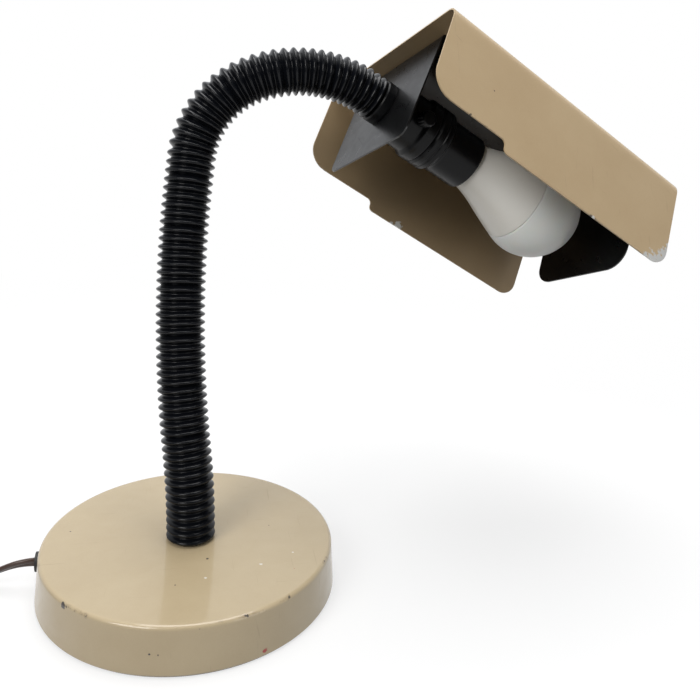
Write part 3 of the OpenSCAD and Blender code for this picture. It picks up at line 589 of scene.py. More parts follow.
def enamel_finish(name, tones, coat, amount, spots):
    """Baked enamel: mottled tone, orange peel, light scratches, chips on the rim, and single marks. coat is
    the clear coat's weight and roughness, and spots are marks by tone as in BASE_MARKS."""
    material, tree, shader, where = new_finish(name, 0.35, Coat_Weight=coat[0], Coat_Roughness=coat[1])
    grain = use_group(tree, "Finish grain", Vector=where, Fine=1500.0, Slow=22.0)
    rim = add_node(tree, "ShaderNodeAttribute", attribute_name="rim").outputs["Fac"]
    wear = use_group(tree, "Edge wear", Vector=where, Rim=rim, Amount=amount)
    chip = wear["Chip"]
    lines = use_group(tree, "Fine scratches", Vector=where, Density=0.55)["Scratch"]
    marks = {}
    for kind, places in spots.items():
        for x, y, z, radius in places:
            centre = (x * MM, y * MM, z * MM)
            spot = use_group(tree, "Ragged spot", Vector=where, Centre=centre, Radius=radius * MM)["Spot"]
            marks[kind] = highest(tree, marks.get(kind), spot)
    tone = mix_colour(tree, grain["Tone"], rgba(tones[0]), rgba(tones[1]))
    tone = mix_colour(tree, times(tree, wear["Halo"], 0.5), tone, HALO_TONE)
    tone = mix_colour(tree, times(tree, lines, 0.35), tone, SCRATCH_TONE)
    tone = mix_colour(tree, chip, tone, CHIP_TONE)
    for kind, mark in marks.items():
        tone = mix_colour(tree, mark, tone, MARK_TONES[kind])
    feed(tree, shader["Base Color"], tone)
    smear = mapped(tree, grain["Smear"], 0.0, 1.0, 0.42, 0.56)
    worn = times(tree, highest(tree, chip, lines), 0.25)
    feed(tree, shader["Roughness"], plus(tree, smear, worn, clamp=True))
    if "steel" in marks:
        feed(tree, shader["Metallic"], times(tree, marks["steel"], 0.45))
    height = maths(tree, "SUBTRACT", times(tree, grain["Height"], 0.10), chip)
    bumped(tree, shader, height, 0.4, 0.00007)
    return material


class LAMP_OT_finishes(bpy.types.Operator):
    """Make the node groups and the materials, and give the CAD nodes theirs"""

    bl_idname = "lamp.finishes"
    bl_label = "Finishes"

    def execute(self, context):
        grain_group()
        wear_group()
        spot_group()
        scratch_group()
        c = colours()
        on_shade = {kind: [(*at_head((x, y, z)), radius) for x, y, z, radius in places]
                    for kind, places in SHADE_MARKS.items()}
        base_tones = (c.enamel_dark, c.enamel)
        shade_tones = (c.shade_dark, c.shade)
        FINISHES["base enamel"] = enamel_finish("Base enamel", base_tones, (0.8, 0.09), 0.40, BASE_MARKS)
        FINISHES["enamel"] = enamel_finish("Shade enamel", shade_tones, (0.25, 0.24), 0.33, on_shade)
        # The inside finish darkens the hood's inner face as painted shade
        FINISHES["inside"] = enamel_finish("Shade enamel inside, painted shade", SHADED_INSIDE_TONES, (0.1, 0.35), 0.33, on_shade)
        chosen = {"sleeve": c.sleeve, "cord": c.cord, "bulb_white": c.bulb, "diffuser": c.diffuser}
        for key, look in PLAIN_LOOKS.items():
            if key in chosen:
                look = dict(look, colour=chosen[key])
            FINISHES[key] = plain_finish(**look)
        for entry in frame["record"]["subparts"]:
            node = frame["nodes"][entry["node"]]
            finish = FINISHES[entry["material_slot"]]
            if node.data.materials:
                node.data.materials[0] = finish
            else:
                node.data.materials.append(finish)
        return {"FINISHED"}


# Stage

# The photograph's camera in the lamp's frame, in metres, and its picture in pixels
CAMERA_PLACE = (0, -0.396774, 0.257825)
CAMERA_RIGHT = (0.97268, -0.22358, 0.06257)
CAMERA_DOWN = (0.01591, -0.20469, -0.97870)
CAMERA_AHEAD = (0.23162, 0.95295, -0.19554)
PHOTO_PX = 700
FOCAL_PX = 793.2352
CENTRE_PX = (384.0618, 260.6122)
SENSOR_W = 36
# Name, place and size in metres, power in watts and tint of each light
LIGHTS = (
    ("Key light", (-0.95, -1.0, 1.15), 0.8, 16.0, (1.0, 0.985, 0.96)),
    ("Top light", (0.15, 0.25, 1.7), 1.2, 23.0, (1.0, 1.0, 1.0)),
    ("Side light", (1.2, -1.3, 0.5), 0.8, 4.0, (0.97, 0.985, 1.0)))
LIGHT_AIM = (0.08, 0, 0.15)
# The floor lies a little under the pad, so that their faces don't fight
FLOOR_Z = -0.1
FLOOR_RINGS = (0.0, 400.0, 1500.0, 6000.0)
FLOOR_TONE = (0.86, 0.86, 0.86, 1)
FLOOR_BOUNCE = (0.15, 0.147, 0.142, 1)
WHITE = (1, 1, 1, 1)


def facing(place, target):
    """A matrix at place whose z points away from the target, and whose x is level."""
    away = np.array(place) - np.array(target)
    away /= np.linalg.norm(away)
    side = np.cross([0, 0, 1.0], away)
    side /= np.linalg.norm(side)
    up = np.cross(away, side)
    return Matrix.LocRotScale(place, Matrix(np.stack([side, up, away], 1).tolist()), None)


class LAMP_OT_stage(bpy.types.Operator):
    """Set the camera at the photograph's view, the floor, the lights and the world"""

    bl_idname = "lamp.stage"
    bl_label = "Stage"

    def execute(self, context):
        scene = context.scene
        scene.view_settings.view_transform = "Standard"
        self.camera(scene)
        floor = self.floor()
        for name, place, size, power, tint in LIGHTS:
            lamp = bpy.data.lights.new(name, "AREA")
            lamp.size = size
            lamp.energy = power
            lamp.color = tint
            light = bpy.data.objects.new(name, lamp)
            scene.collection.objects.link(light)
            light.matrix_world = facing(place, LIGHT_AIM)
        self.world(scene)
        return {"FINISHED"}

    def camera(self, scene):
        """The photograph's camera, whose x is right, y is up and z is back."""
        camera = bpy.data.objects.new("Camera", bpy.data.cameras.new("Camera"))
        scene.collection.objects.link(camera)
        axes = zip(CAMERA_RIGHT, CAMERA_DOWN, CAMERA_AHEAD)
        rows = [(right, -down, -ahead) for right, down, ahead in axes]
        camera.matrix_world = Matrix.LocRotScale(CAMERA_PLACE, Matrix(rows), None)
        camera.data.sensor_width = SENSOR_W
        camera.data.lens = FOCAL_PX * SENSOR_W / PHOTO_PX
        camera.data.shift_x = (PHOTO_PX / 2 - CENTRE_PX[0]) / PHOTO_PX
        camera.data.shift_y = (CENTRE_PX[1] - PHOTO_PX / 2) / PHOTO_PX
        camera.data.clip_start = 0.01
        scene.camera = camera

    def floor(self):
        """A wide pale disc, rings of r cos a and r sin a. The camera and reflections see it mixed with white
        light, more so further away, and it throws little light back up."""
        material, tree, shader, where = new_finish("Floor", 0.9)
        path = tree.nodes.new("ShaderNodeLightPath").outputs
        seen = maths(tree, "MAXIMUM", path["Is Camera Ray"], path["Is Glossy Ray"])
        away = add_node(tree, "ShaderNodeVectorMath", {0: where}, operation="LENGTH").outputs["Value"]
        share = times(tree, seen, mapped(tree, away, 0.25, 0.75, 0.66, 1.0))
        feed(tree, shader["Base Color"], mix_colour(tree, path["Is Diffuse Ray"], FLOOR_TONE, FLOOR_BOUNCE))
        glow = add_node(tree, "ShaderNodeEmission", {"Color": WHITE, "Strength": 1.0})
        matt = tree.nodes["Principled BSDF"].outputs[0]
        mix = add_node(tree, "ShaderNodeMixShader", {0: share, 1: matt, 2: glow.outputs[0]})
        feed(tree, tree.nodes["Material Output"].inputs[0], mix.outputs[0])
        rings = np.array([[r, FLOOR_Z] for r in FLOOR_RINGS])
        return surface("Floor", turned_grid(rings, 96), TUBE, material, sharp=None)

    def world(self, scene):
        """A pale world that lights softly and is white to the camera. In reflections it goes from dim in
        front of the lamp to nearly white behind it."""
        world = scene.world or bpy.data.worlds.new("World")
        scene.world = world
        world.use_nodes = True
        tree = world.node_tree
        tree.nodes.clear()
        path = tree.nodes.new("ShaderNodeLightPath").outputs
        seen = maths(tree, "MAXIMUM", path["Is Camera Ray"], path["Is Transmission Ray"])
        soft = add_node(tree, "ShaderNodeBackground", {"Color": (0.97, 0.98, 1.0, 1), "Strength": 0.40})
        white = add_node(tree, "ShaderNodeBackground", {"Color": WHITE, "Strength": 1.0})
        direction = tree.nodes.new("ShaderNodeTexCoord").outputs["Generated"]
        way = add_node(tree, "ShaderNodeSeparateXYZ", {0: direction}).outputs
        behind = mapped(tree, way["Y"], -0.15, 0.45, 0.16, 0.95)
        glossy = add_node(tree, "ShaderNodeBackground", {"Color": (0.95, 0.97, 1.0, 1), "Strength": behind})
        kinds = {0: path["Is Glossy Ray"], 1: soft.outputs[0], 2: glossy.outputs[0]}
        dull = add_node(tree, "ShaderNodeMixShader", kinds)
        mix = add_node(tree, "ShaderNodeMixShader", {0: seen, 1: dull.outputs[0], 2: white.outputs[0]})
        feed(tree, tree.nodes.new("ShaderNodeOutputWorld").inputs[0], mix.outputs[0])


# Cord

# The flat cord: width, thickness, place where it leaves the base, and routes to the coil and to the plug
CORD_W = 5.2
CORD_T = 2.8
CORD_ROUTE = [
    [-72, 0, 15.5], [-77, 0, 15.5], [-82, 0, 15.3], [-87, 0.6, 14.2], [-92, 1.6, 12.2], [-98, 3, 9.2],
    [-104, 4.6, 6.2], [-110, 6.4, 4], [-117, 8.6, 2.9], [-125, 11, 2.5], [-134, 13.4, 2.4],
    [-144, 15.8, 2.4], [-154, 17.8, 2.4], [-164, 19.2, 2.4], [-173.8, 19.5, 2.4]]
PLUG_ROUTE = [
    [-174.2, 19.5, 12.9], [-184, 19.2, 12.4], [-194, 17.8, 11], [-204, 15.4, 9.2],
    [-213, 13, 8], [-221, 11, 7.6]]
ROUTE_PARTS = 4
# The cord leaves the base on its edge and lies flat after this many points of its route
UPRIGHT_POINTS = 7
# A low power keeps the two conductors' lobes round. The groove between them has a depth as a share and a
# half width
LOBE_POWER = 0.45
GROOVE_SHARE = 0.42
GROOVE_W = 0.62
# The coil: layers that spiral in and out by turns, with a little air between the cord's runs
COIL_CENTRE = (-174.0, -16.0)
COIL_R = 35.5
COIL_STEP = CORD_W + 0.8
COIL_RISE = CORD_T + 0.7
COIL_Z = 2.4
COIL_LAYERS = 4
LAYER_TURNS = 2.25
CLIMB_TURNS = 0.5
POINTS_PER_TURN = 36
# The tie: its width, thickness, corners and turn round the coil, and its middle's distance from the cord
TIE_W = 7.8
TIE_T = 0.76
TIE_R = 2.2
TIE_TURN = -45
TIE_GAP = 0.7
TIE_UNDER = 0.55
# The plug: distance along it, half width and half height, and the grooves of its grip
PLUG_OUTLINE = (
    (0.1, 3.6, 2.6), (1.0, 4.2, 3.4), (6.5, 6.0, 5.4), (9.0, 8.4, 6.6), (12.5, 11.2, 7.5), (25.5, 11.4, 7.5),
    (26.8, 10.8, 6.9))
PLUG_POWER = 0.55
GRIP_L = 8.0
GRIP_GROOVES = 3
GRIP_DEPTH = 0.10


def smooth_route(points, parts):
    """A Catmull-Rom curve through the points, with this many parts to each gap."""
    p = np.array(points, float)
    q = np.vstack([2 * p[:1] - p[1:2], p, 2 * p[-1:] - p[-2:-1]])
    w = (np.arange(parts) / parts)[None, :, None]
    a, b, c, d = q[:-3, None], q[1:-2, None], q[2:-1, None], q[3:, None]
    square = 2 * a - 5 * b + 4 * c - d
    cube = 3 * b - a - 3 * c + d
    curve = 0.5 * (2 * b + (c - a) * w + square * w ** 2 + cube * w ** 3)
    return np.vstack([curve.reshape(-1, 3), p[-1:]])


def coil_line():
    """The coil: centre + r (cos a, sin a) with a = 90 + 360 t for the turns t. r goes in and out by layers,
    and the height climbs a layer where it reverses. Also gives the directions to the coil's middle."""
    t = np.arange(1, int(COIL_LAYERS * LAYER_TURNS * POINTS_PER_TURN)) / POINTS_PER_TURN
    layer = np.floor(t / LAYER_TURNS)
    into = t - layer * LAYER_TURNS
    r = COIL_R - COIL_STEP * np.where(layer % 2 == 0, into, LAYER_TURNS - into)
    edge = np.round(t / LAYER_TURNS)
    near = t - edge * LAYER_TURNS
    climb = edge - 1 + np.clip((near + CLIMB_TURNS / 2) / CLIMB_TURNS, 0, 1)
    climb = np.where(edge <= 0, 0, np.where(edge >= COIL_LAYERS, COIL_LAYERS - 1, climb))
    a = np.radians(90 + 360 * t)
    out = np.stack([np.cos(a), np.sin(a), 0 * a], -1)
    x, y = COIL_CENTRE[0] + r * out[:, 0], COIL_CENTRE[1] + r * out[:, 1]
    return np.stack([x, y, COIL_Z + COIL_RISE * climb], -1), -out


def cord_sides(line, upright):
    """Wide directions of the flat cord: level and square to its route, turned up by upright degrees."""
    t = tangents(line)
    flat = np.cross([0, 0, 1.0], t)
    flat /= np.linalg.norm(flat, axis=1, keepdims=True)
    up = np.cross(t, flat)
    a = np.radians(upright)[:, None]
    return flat * np.cos(a) + up * np.sin(a)


def twin_section(sides=28):
    """The twin cord's outline: two round lobes of radius r, whose middles lie m to each side. x is m c +
    r cos a, where c is cos a to the power 0.45 with its sign, and y is r sin a, pinched where x is near 0."""
    a = ring_angles(sides)
    r = CORD_T / 2
    m = CORD_W / 2 - r
    x = m * signed_power(np.cos(a), LOBE_POWER) + r * np.cos(a)
    y = r * np.sin(a) * (1 - GROOVE_SHARE * np.exp(-((x / GROOVE_W) ** 2)))
    return x, y


class LAMP_OT_cord(bpy.types.Operator):
    """Make the flat cord with its coil, the tie and the plug"""

    bl_idname = "lamp.cord"
    bl_label = "Cord"

    def execute(self, context):
        first = smooth_route(CORD_ROUTE, ROUTE_PARTS)[:-1]
        along = np.linspace(0, len(CORD_ROUTE) - 1, len(first))
        coil, to_middle = coil_line()
        last = smooth_route(PLUG_ROUTE, ROUTE_PARTS)
        line = np.vstack([first, coil, last])
        wide = np.vstack([cord_sides(first, 90 * np.clip(1 - along / UPRIGHT_POINTS, 0, 1)), to_middle,
                          cord_sides(last, np.zeros(len(last)))])
        t = tangents(line)
        wide -= t * np.sum(wide * t, 1, keepdims=True)
        wide /= np.linalg.norm(wide, axis=1, keepdims=True)
        thin = np.cross(t, wide)
        x, y = twin_section()
        rings = line[:, None] + wide[:, None] * x[None, :, None] + thin[:, None] * y[None, :, None]
        cord = surface("cord", capped(rings, line), TUBE, FINISHES["cord"])
        place_piece(cord, "base", "cord", "cord_stretch", "cord_coil")
        tie = self.tie()
        plug = self.plug()
        return {"FINISHED"}

    def tie(self):
        """A strap: a flat rounded section, wide across and thin in depth, carried round a rounded rectangle
        that goes through the coil's middle and round its outside."""
        in_r = COIL_R - COIL_STEP * LAYER_TURNS - CORD_W / 2 - TIE_GAP
        out_r = COIL_R + CORD_W / 2 + TIE_GAP
        top = COIL_Z + (COIL_LAYERS - 1) * COIL_RISE + CORD_T / 2 + TIE_GAP
        bottom = COIL_Z - CORD_T / 2 - TIE_UNDER
        mid = (in_r + out_r) / 2
        corners = [(x, y, TIE_R) for x, y in ((out_r, bottom), (out_r, top), (in_r, top), (in_r, bottom))]
        loop = rounded_path([(mid, bottom, 0), *corners, (mid, bottom, 0)])[:-1]
        t = np.roll(loop, -1, 0) - np.roll(loop, 1, 0)
        t /= np.linalg.norm(t, axis=1, keepdims=True)
        normal = np.stack([t[:, 1], -t[:, 0]], 1)
        a = ring_angles(16)
        across = TIE_W / 2 * signed_power(np.cos(a), 0.3)
        deep = TIE_T / 2 * signed_power(np.sin(a), 0.6)
        rz = loop[:, None] + normal[:, None] * deep[None, :, None]
        h = np.radians(TIE_TURN)
        px = COIL_CENTRE[0] + rz[..., 0] * np.cos(h) - across[None] * np.sin(h)
        py = COIL_CENTRE[1] + rz[..., 0] * np.sin(h) + across[None] * np.cos(h)
        tie = surface("cord_tie", np.stack([px, py, rz[..., 1]], -1), LOOP, FINISHES["black_rubber"])
        return place_piece(tie, "base", "black_rubber", "coil_tie")

    def plug(self):
        """The plug: rounded-box sections (w c, h s), where c and s are cos a and sin a to the power 0.55 with
        their signs, the half sizes w and h follow its length, and three grooves cross its grip."""
        along, half_w, half_h = np.array(PLUG_OUTLINE).T
        x = np.unique(np.concatenate([np.linspace(along[0], along[-1], 70), along]))
        grip = np.where(x < GRIP_L, 1 - GRIP_DEPTH * swell(x / GRIP_L * GRIP_GROOVES), 1)
        w, h = (running_mean(np.pad(np.interp(x, along, half), 2, mode="edge"), 5) * grip
                for half in (half_w, half_h))
        a = ring_angles(48)
        y = w[:, None] * signed_power(np.cos(a), PLUG_POWER)
        z = h[:, None] * signed_power(np.sin(a), PLUG_POWER)
        rings = np.stack([np.repeat(x[:, None], len(a), 1), y, z], -1)
        grid = capped(rings, np.stack([x, 0 * x, 0 * x], -1))
        end = np.array(PLUG_ROUTE[-1], float)
        step = end - np.array(PLUG_ROUTE[-2], float)
        turn = np.arctan2(step[1], step[0])
        spin = np.array([[np.cos(turn), np.sin(turn), 0], [-np.sin(turn), np.cos(turn), 0], [0, 0, 1]])
        plug = surface("plug", grid @ spin + end, TUBE, FINISHES["plug"], sharp=50)
        return place_piece(plug, "base", "plug", "plug_body")


# Base

# The cover's wall, the radius of its top edge, and its foot, which turns in a little over the pad
COVER_T = 1.0
COVER_R = 2.2
FOOT_H = 1.02
FOOT_TURN_H = 1.6
FOOT_IN = 0.35
BASE_SIDES = 224
# How far wear reaches from the top edge and from the foot, and its strength at the foot
EDGE_WEAR_W = 2.0
FOOT_WEAR_W = 0.9
FOOT_WEAR = 0.45


class LAMP_OT_base(bpy.types.Operator):
    """Make the enamelled cover of the base"""

    bl_idname = "lamp.base"
    bl_label = "Base"

    def execute(self, context):
        low, top = sizes().base_bottom_d / MM / 2, sizes().base_top_d / MM / 2
        under = BASE_H - COVER_T
        outside = rounded_path([
            (BORE_R, BASE_H, 0), (top, BASE_H, COVER_R), (low, FOOT_TURN_H, 0.5), (low - FOOT_IN, FOOT_H, 0)])
        inside = rounded_path([
            (low - COVER_T, 1.1, 0), (top - COVER_T, under, COVER_R - COVER_T), (BORE_R, under, 0)])
        profile = dense(np.vstack([outside, inside]), 2.5)
        from_edge = np.hypot(profile[:, 0] - top, profile[:, 1] - BASE_H + 0.4)
        from_foot = profile[:, 1] - 1.2
        edge_wear = np.exp(-(from_edge / EDGE_WEAR_W) ** 2)
        foot_wear = FOOT_WEAR * np.exp(-(from_foot / FOOT_WEAR_W) ** 2)
        rim = np.repeat(np.maximum(edge_wear, foot_wear)[:, None], BASE_SIDES, 1)
        grid = turned_grid(profile, BASE_SIDES)
        cover = surface("base_cover", grid, LOOP, FINISHES["base enamel"], rim=rim)
        place_piece(cover, "base", "enamel", "base_shell")
        return {"FINISHED"}


# Neck

# Pitch of the ribs, and its growth in the bend and fall towards the ferrule, each with the place along the
# neck where it starts and the length over which it happens
RIB_PITCH = 4.35
PITCH_CHANGES = ((0.50, 170, 60), (-0.7, 262, 36))
# Lower powers make wider crests and narrower valleys
RIB_POWER = 0.8
RIB_STEPS = 14
SLEEVE_SIDES = 72
SLEEVE_BORE_R = 9.3
BORE_STEPS = 7
LEAD_R = 2.2
LEAD_SIDES = 12
# Length to each side of a joint; the neck step finds the line's points there and does nothing more with them
BLEND_L = 9
# The ferrule's outline: radius, place on the head's x and corner radius
FERRULE_OUTLINE = (
    (9.0, -6.05, 0), (12.0, -6.05, 0.5), (12.6, -5.2, 0.5), (12.6, -1.0, 0.5), (12.2, 0, 0),
    (BORE_R, -0.02, 0), (BORE_R, -6.0, 0))


def rib_phase():
    """Ribs along the neck: the integral of 1 / pitch, where the pitch grows from 4.35 to 4.85 mm in the bend
    and falls to 4.15 mm towards the ferrule. Scaled so that a groove lies at the ferrule."""
    s = np.linspace(0, RIBBED_L, 4001)
    pitch = RIB_PITCH
    for change, start, length in PITCH_CHANGES:
        pitch = pitch + change * eased((s - start) / length)
    phase = np.concatenate([[0], np.cumsum(np.diff(s) / pitch[1:])])
    return s, phase * np.round(phase[-1]) / phase[-1]


class LAMP_OT_neck(bpy.types.Operator):
    """Make the ribbed sleeve and the cord inside it, one piece to each joint, and the ferrule"""

    bl_idname = "lamp.neck"
    bl_label = "Neck"

    def execute(self, context):
        s_all, phase = rib_phase()
        cuts = [0.0]
        for k in range(1, JOINTS):
            mid = (joint_s(k) + joint_s(k + 1)) / 2
            groove = np.round(np.interp(mid, s_all, phase))
            cuts.append(float(np.interp(groove, phase, s_all)))
        cuts.append(RIBBED_L)
        for k in range(1, JOINTS + 1):
            sleeve = self.sleeve(k, cuts[k - 1], cuts[k], s_all, phase)
            lead = self.lead(k, cuts[k - 1], cuts[k])
            line = neck_line([joint_s(k) - BLEND_L, joint_s(k) + BLEND_L])[0] * MM
            for piece, slot in ((sleeve, "sleeve"), (lead, "cord")):
                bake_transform(piece)
            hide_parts("sleeve_%02d" % (k - 1), "sleeve_%02d" % k)
            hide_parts("neck_lead")
        self.ferrule()
        return {"FINISHED"}

    def sleeve(self, k, s0, s1, s_all, phase):
        """Ribs from groove to groove: the radius is valley + depth ((1 - cos 2 pi phase) / 2)^0.8, so crests
        are wide and valleys narrow. The bore is plain."""
        crest = sizes().sleeve_d / MM / 2
        depth = sizes().rib_depth / MM
        p0, p1 = np.interp([s0, s1], s_all, phase)
        count = max(1, int(round(p1 - p0)))
        fine = np.linspace(p0, p1, count * RIB_STEPS + 1)
        r = crest - depth + depth * swell(fine) ** RIB_POWER
        p, u, v, _ = neck_line(np.interp(fine, phase, s_all))
        ways = circles(u, v, SLEEVE_SIDES)
        outer = p[:, None] + ways * r[:, None, None]
        inner = (p[:, None] + ways * SLEEVE_BORE_R)[::-BORE_STEPS]
        grid = np.concatenate([outer, inner])
        return surface("ribbed_sleeve_%02d" % k, grid, LOOP, FINISHES["sleeve"], sharp=75)

    def lead(self, k, s0, s1):
        """The cord in the sleeve: circles round the neck's line."""
        p, u, v, _ = neck_line(np.linspace(s0, s1, 12))
        rings = p[:, None] + circles(u, v, LEAD_SIDES) * LEAD_R
        return surface("neck_cord_%02d" % k, capped(rings, p), TUBE, FINISHES["cord"])

    def ferrule(self):
        """The smooth collar: its outline turned about the head's axis."""
        grid = turned_grid(rounded_path(FERRULE_OUTLINE, 5), 96, on_head_axis)
        ferrule = surface("neck_collar", grid, LOOP, FINISHES["collar"])
        place_piece(ferrule, "head", "black_paint", "neck_ferrule")


# Shade

# The sheet's thickness
STEEL_T = 0.9
HALF_T = STEEL_T / 2
# The shade starts this far behind the head's origin
PLATE_INSET = 9.0
# How far the panels and their ends lean out, as a share of the depth below the top
PANEL_LEAN = 0.03
BACK_LEAN = 0.03
FRONT_LEAN = 0.01
# Radii of the panels' lower corners, of the notch and of the long bends, and the notch's place from the back
BACK_R = 13.0
FRONT_R = 11.0
NOTCH_R = 3.2
NOTCH_L = 51.5
HOOD_BEND_R = 8.05
# The bends are over at this depth below the top, and as far in from the sides
BEND_SPAN = 10.5
# Steps from 0 to 1, close together at the start, for corners that turn in quickly
CORNER_STEPS = 1 - np.cos(np.linspace(0, np.pi / 2, 9))
# The inner channel: half width, air under the hood, the flap's distance from the front, and for the plate
# and the flap the depth below the shade's top, the taper and the corner radius
LINER_HALF_W = 40.5
LINER_GAP = 0.05
FLAP_INSET = 2.45
LINER_BEND_R = 1.6
PLATE_END = (66.0, 2.0, 5.0)
FLAP_END = (54.0, 4.0, 12.0)


def panel_span(d, sz):
    """The near and far end, in x, of a side panel at the depth d below the top: leaning straight edges, whose
    lower corners round off as r - sqrt(r^2 - e^2), and a notch where the back part ends higher."""
    back = -PLATE_INSET
    front = sz.shade_l / MM - PLATE_INSET
    high, low = sz.shade_back_h / MM, sz.shade_h / MM
    lo = back + BACK_LEAN * d + arc_drop(d - (high - BACK_R), BACK_R)
    inner = arc_drop(high + NOTCH_R - d, NOTCH_R)
    outer = arc_drop(d - (low - NOTCH_R), NOTCH_R)
    lo = np.where(d > high, back + NOTCH_L - inner + outer, lo)
    hi = front + FRONT_LEAN * d - arc_drop(d - (low - FRONT_R), FRONT_R)
    return lo, hi


def liner_half(d, end):
    """Half width of the channel's plate or flap at the depth d: it tapers to rounded lower corners."""
    depth, taper, corner = end
    return LINER_HALF_W - taper * d / depth - arc_drop(d - (depth - corner), corner)


class LAMP_OT_shade(bpy.types.Operator):
    """Make the folded steel shade and the black channel inside it"""

    bl_idname = "lamp.shade"
    bl_label = "Shade"

    def execute(self, context):
        # The hood's inner face takes the inside finish, whose darker tones are painted shade
        hood = self.steel("shade", *self.hood_middle(), FINISHES["enamel"], FINISHES["inside"])
        place_piece(hood, "head", "enamel", "shade_hood")
        middle = self.liner_middle()
        liner = self.steel("inner_channel", middle, np.zeros(middle.shape[:2]), FINISHES["black_paint"])
        place_piece(liner, "head", "black_paint", "shade_liner")
        return {"FINISHED"}

    def steel(self, name, middle, rim, material, inside=None):
        """A steel sheet from its middle surface in the head's frame: a thickness and softened edges. An
        inside finish, if given, goes on the inner face as painted shade.
        """
        piece = surface(name, at_head(middle), SHEET, material, rim=rim, sharp=None)
        thick = piece.modifiers.new("Steel", "SOLIDIFY")
        if inside is not None:
            piece.data.materials.append(inside)
            thick.material_offset = 1
        thick.thickness = STEEL_T * MM
        thick.offset = 0
        thick.use_even_offset = True
        bevel = piece.modifiers.new("Edge", "BEVEL")
        bevel.width = 0.28 * MM
        bevel.segments = 2
        bevel.limit_method = "ANGLE"
        bevel.angle_limit = np.radians(60)
        bevel.harden_normals = True
        return piece

    def hood_section(self, half, low, high):
        """The hood's section, as (across, depth): a panel, a bend, the top, a bend and a panel. The depths on
        the panels are closer together where corners and the notch turn."""
        depths = np.unique(np.concatenate([
            np.linspace(0, low - FRONT_R, 14), np.linspace(high - BACK_R, high, 16),
            high + 0.02 + NOTCH_R * CORNER_STEPS, np.linspace(low - FRONT_R, low, 12),
            low - NOTCH_R * CORNER_STEPS]))
        end_d = 14.0
        end = half + PANEL_LEAN * end_d - HALF_T
        top = rounded_path([(-end, end_d, 0), (-half + HALF_T, HALF_T, HOOD_BEND_R),
                            (half - HALF_T, HALF_T, HOOD_BEND_R), (end, end_d, 0)], 10)
        left, right = np.split(top[1:-1], 2)
        flat = np.stack([np.linspace(-half + BEND_SPAN, half - BEND_SPAN, 12), np.full(12, HALF_T)], 1)
        deep = depths[depths > BEND_SPAN]
        lean = half + PANEL_LEAN * deep - HALF_T
        near_panel = np.stack([-lean, deep], 1)[::-1]
        far_panel = np.stack([lean, deep], 1)
        return np.vstack([near_panel, left, flat, right, far_panel])

    def hood_middle(self):
        """The hood's middle surface: along each row of the section, from the back edge to the front edge of
        panel_span, with the rows' ends closer together. Also gives the rim, which is high at the edges and
        a third as high at the folds."""
        sz = sizes()
        half, low, high = sz.shade_w / MM / 2, sz.shade_h / MM, sz.shade_back_h / MM
        section = self.hood_section(half, low, high)
        across, depth = section[:, :1], section[:, 1:]
        lo, hi = (end[:, None] for end in panel_span(section[:, 1], sz))
        share = np.concatenate([[0, 0.004], np.linspace(0.012, 0.988, 40), [0.996, 1]])
        x = lo + (hi - lo) * share[None]
        y = np.repeat(depth - sz.shade_rise / MM, len(share), 1)
        z = np.repeat(across, len(share), 1)
        bottom = np.where(x < -PLATE_INSET + NOTCH_L - NOTCH_R, high, low)
        away = np.minimum(np.minimum(x - lo, hi - x), np.abs(bottom - depth))
        fold = np.abs(np.abs(across) - half) + np.abs(depth - 1.0)
        rim = np.maximum(np.exp(-(away / 1.2) ** 2), 0.35 * np.exp(-(fold / 2.5) ** 2))
        return np.stack([x, y, z], -1), rim

    def liner_middle(self):
        """The black channel's middle surface: from the side, the back plate, the run under the top and the
        front flap, as (x, depth). Its half width follows liner_half on the plate and on the flap."""
        top = STEEL_T + LINER_GAP + HALF_T
        flap_x = sizes().shade_l / MM - PLATE_INSET - FLAP_INSET
        side = dense(rounded_path([
            (HALF_T, PLATE_END[0], 0), (HALF_T, top, LINER_BEND_R), (flap_x, top, LINER_BEND_R),
            (flap_x, FLAP_END[0], 0)]), 3.0)
        at_plate = side[:, 0] < 1.0
        at_flap = side[:, 0] > flap_x - 1.0
        plate_more = np.stack([np.full(10, HALF_T), PLATE_END[0] - np.linspace(0.05, PLATE_END[2], 10)], 1)
        flap_more = np.stack([np.full(16, flap_x), FLAP_END[0] - np.linspace(0.05, FLAP_END[2], 16)], 1)
        plate = np.vstack([side[at_plate], plate_more])
        plate = plate[np.argsort(-plate[:, 1], kind="stable")]
        flap = np.vstack([side[at_flap], flap_more])
        flap = flap[np.argsort(flap[:, 1], kind="stable")]
        run = side[~at_plate & ~at_flap]
        half = np.concatenate([liner_half(plate[:, 1], PLATE_END), np.full(len(run), LINER_HALF_W),
                               liner_half(flap[:, 1], FLAP_END)])
        side = np.vstack([plate, run, flap])
        share = np.linspace(-1, 1, 25)
        x = np.repeat(side[:, :1], len(share), 1)
        y = np.repeat(side[:, 1:] - sizes().shade_rise / MM, len(share), 1)
        return np.stack([x, y, half[:, None] * share[None]], -1)


# Lamp holder

# Outlines turned about the head's axis: radius, place on the axis and corner radius
CAP_OUTLINE = (
    (5.1, 4.15, 0), (10.5, 4.15, 0.6), (12.5, 7.1, 1), (14, 9.1, 1), (15.9, 10.4, 1.2), (16.6, 12.4, 0.8),
    (16.8, 20.3, 0.6), (17.3, 21.1, 0.4), (18.5, 22.6, 0.8), (18.7, 24.6, 0.4), (18.7, 28.1, 0.5),
    (17.9, 29.3, 0), (16.6, 29.3, 0), (16.6, 24.5, 0), (14.8, 21.5, 0), (14.2, 13, 0), (5.1, 13, 0))
SHELL_OUTLINE = (
    (17.7, 29.7, 0), (18.7, 30.9, 0.5), (18.7, 33.4, 0.2), (18.3, 33.9, 0.2), (18.3, 34.7, 0.2),
    (18.7, 35.2, 0.2), (18.7, 37.4, 0.6), (17.8, 38.5, 0.5), (16.75, 39.2, 0.5), (16.4, 41.0, 0.8),
    (16.4, 61.1, 0.6), (15.9, 62, 0.3), (14.9, 62, 0.3), (14.9, 42, 0), (14.9, 36, 0), (15.4, 29.7, 0))
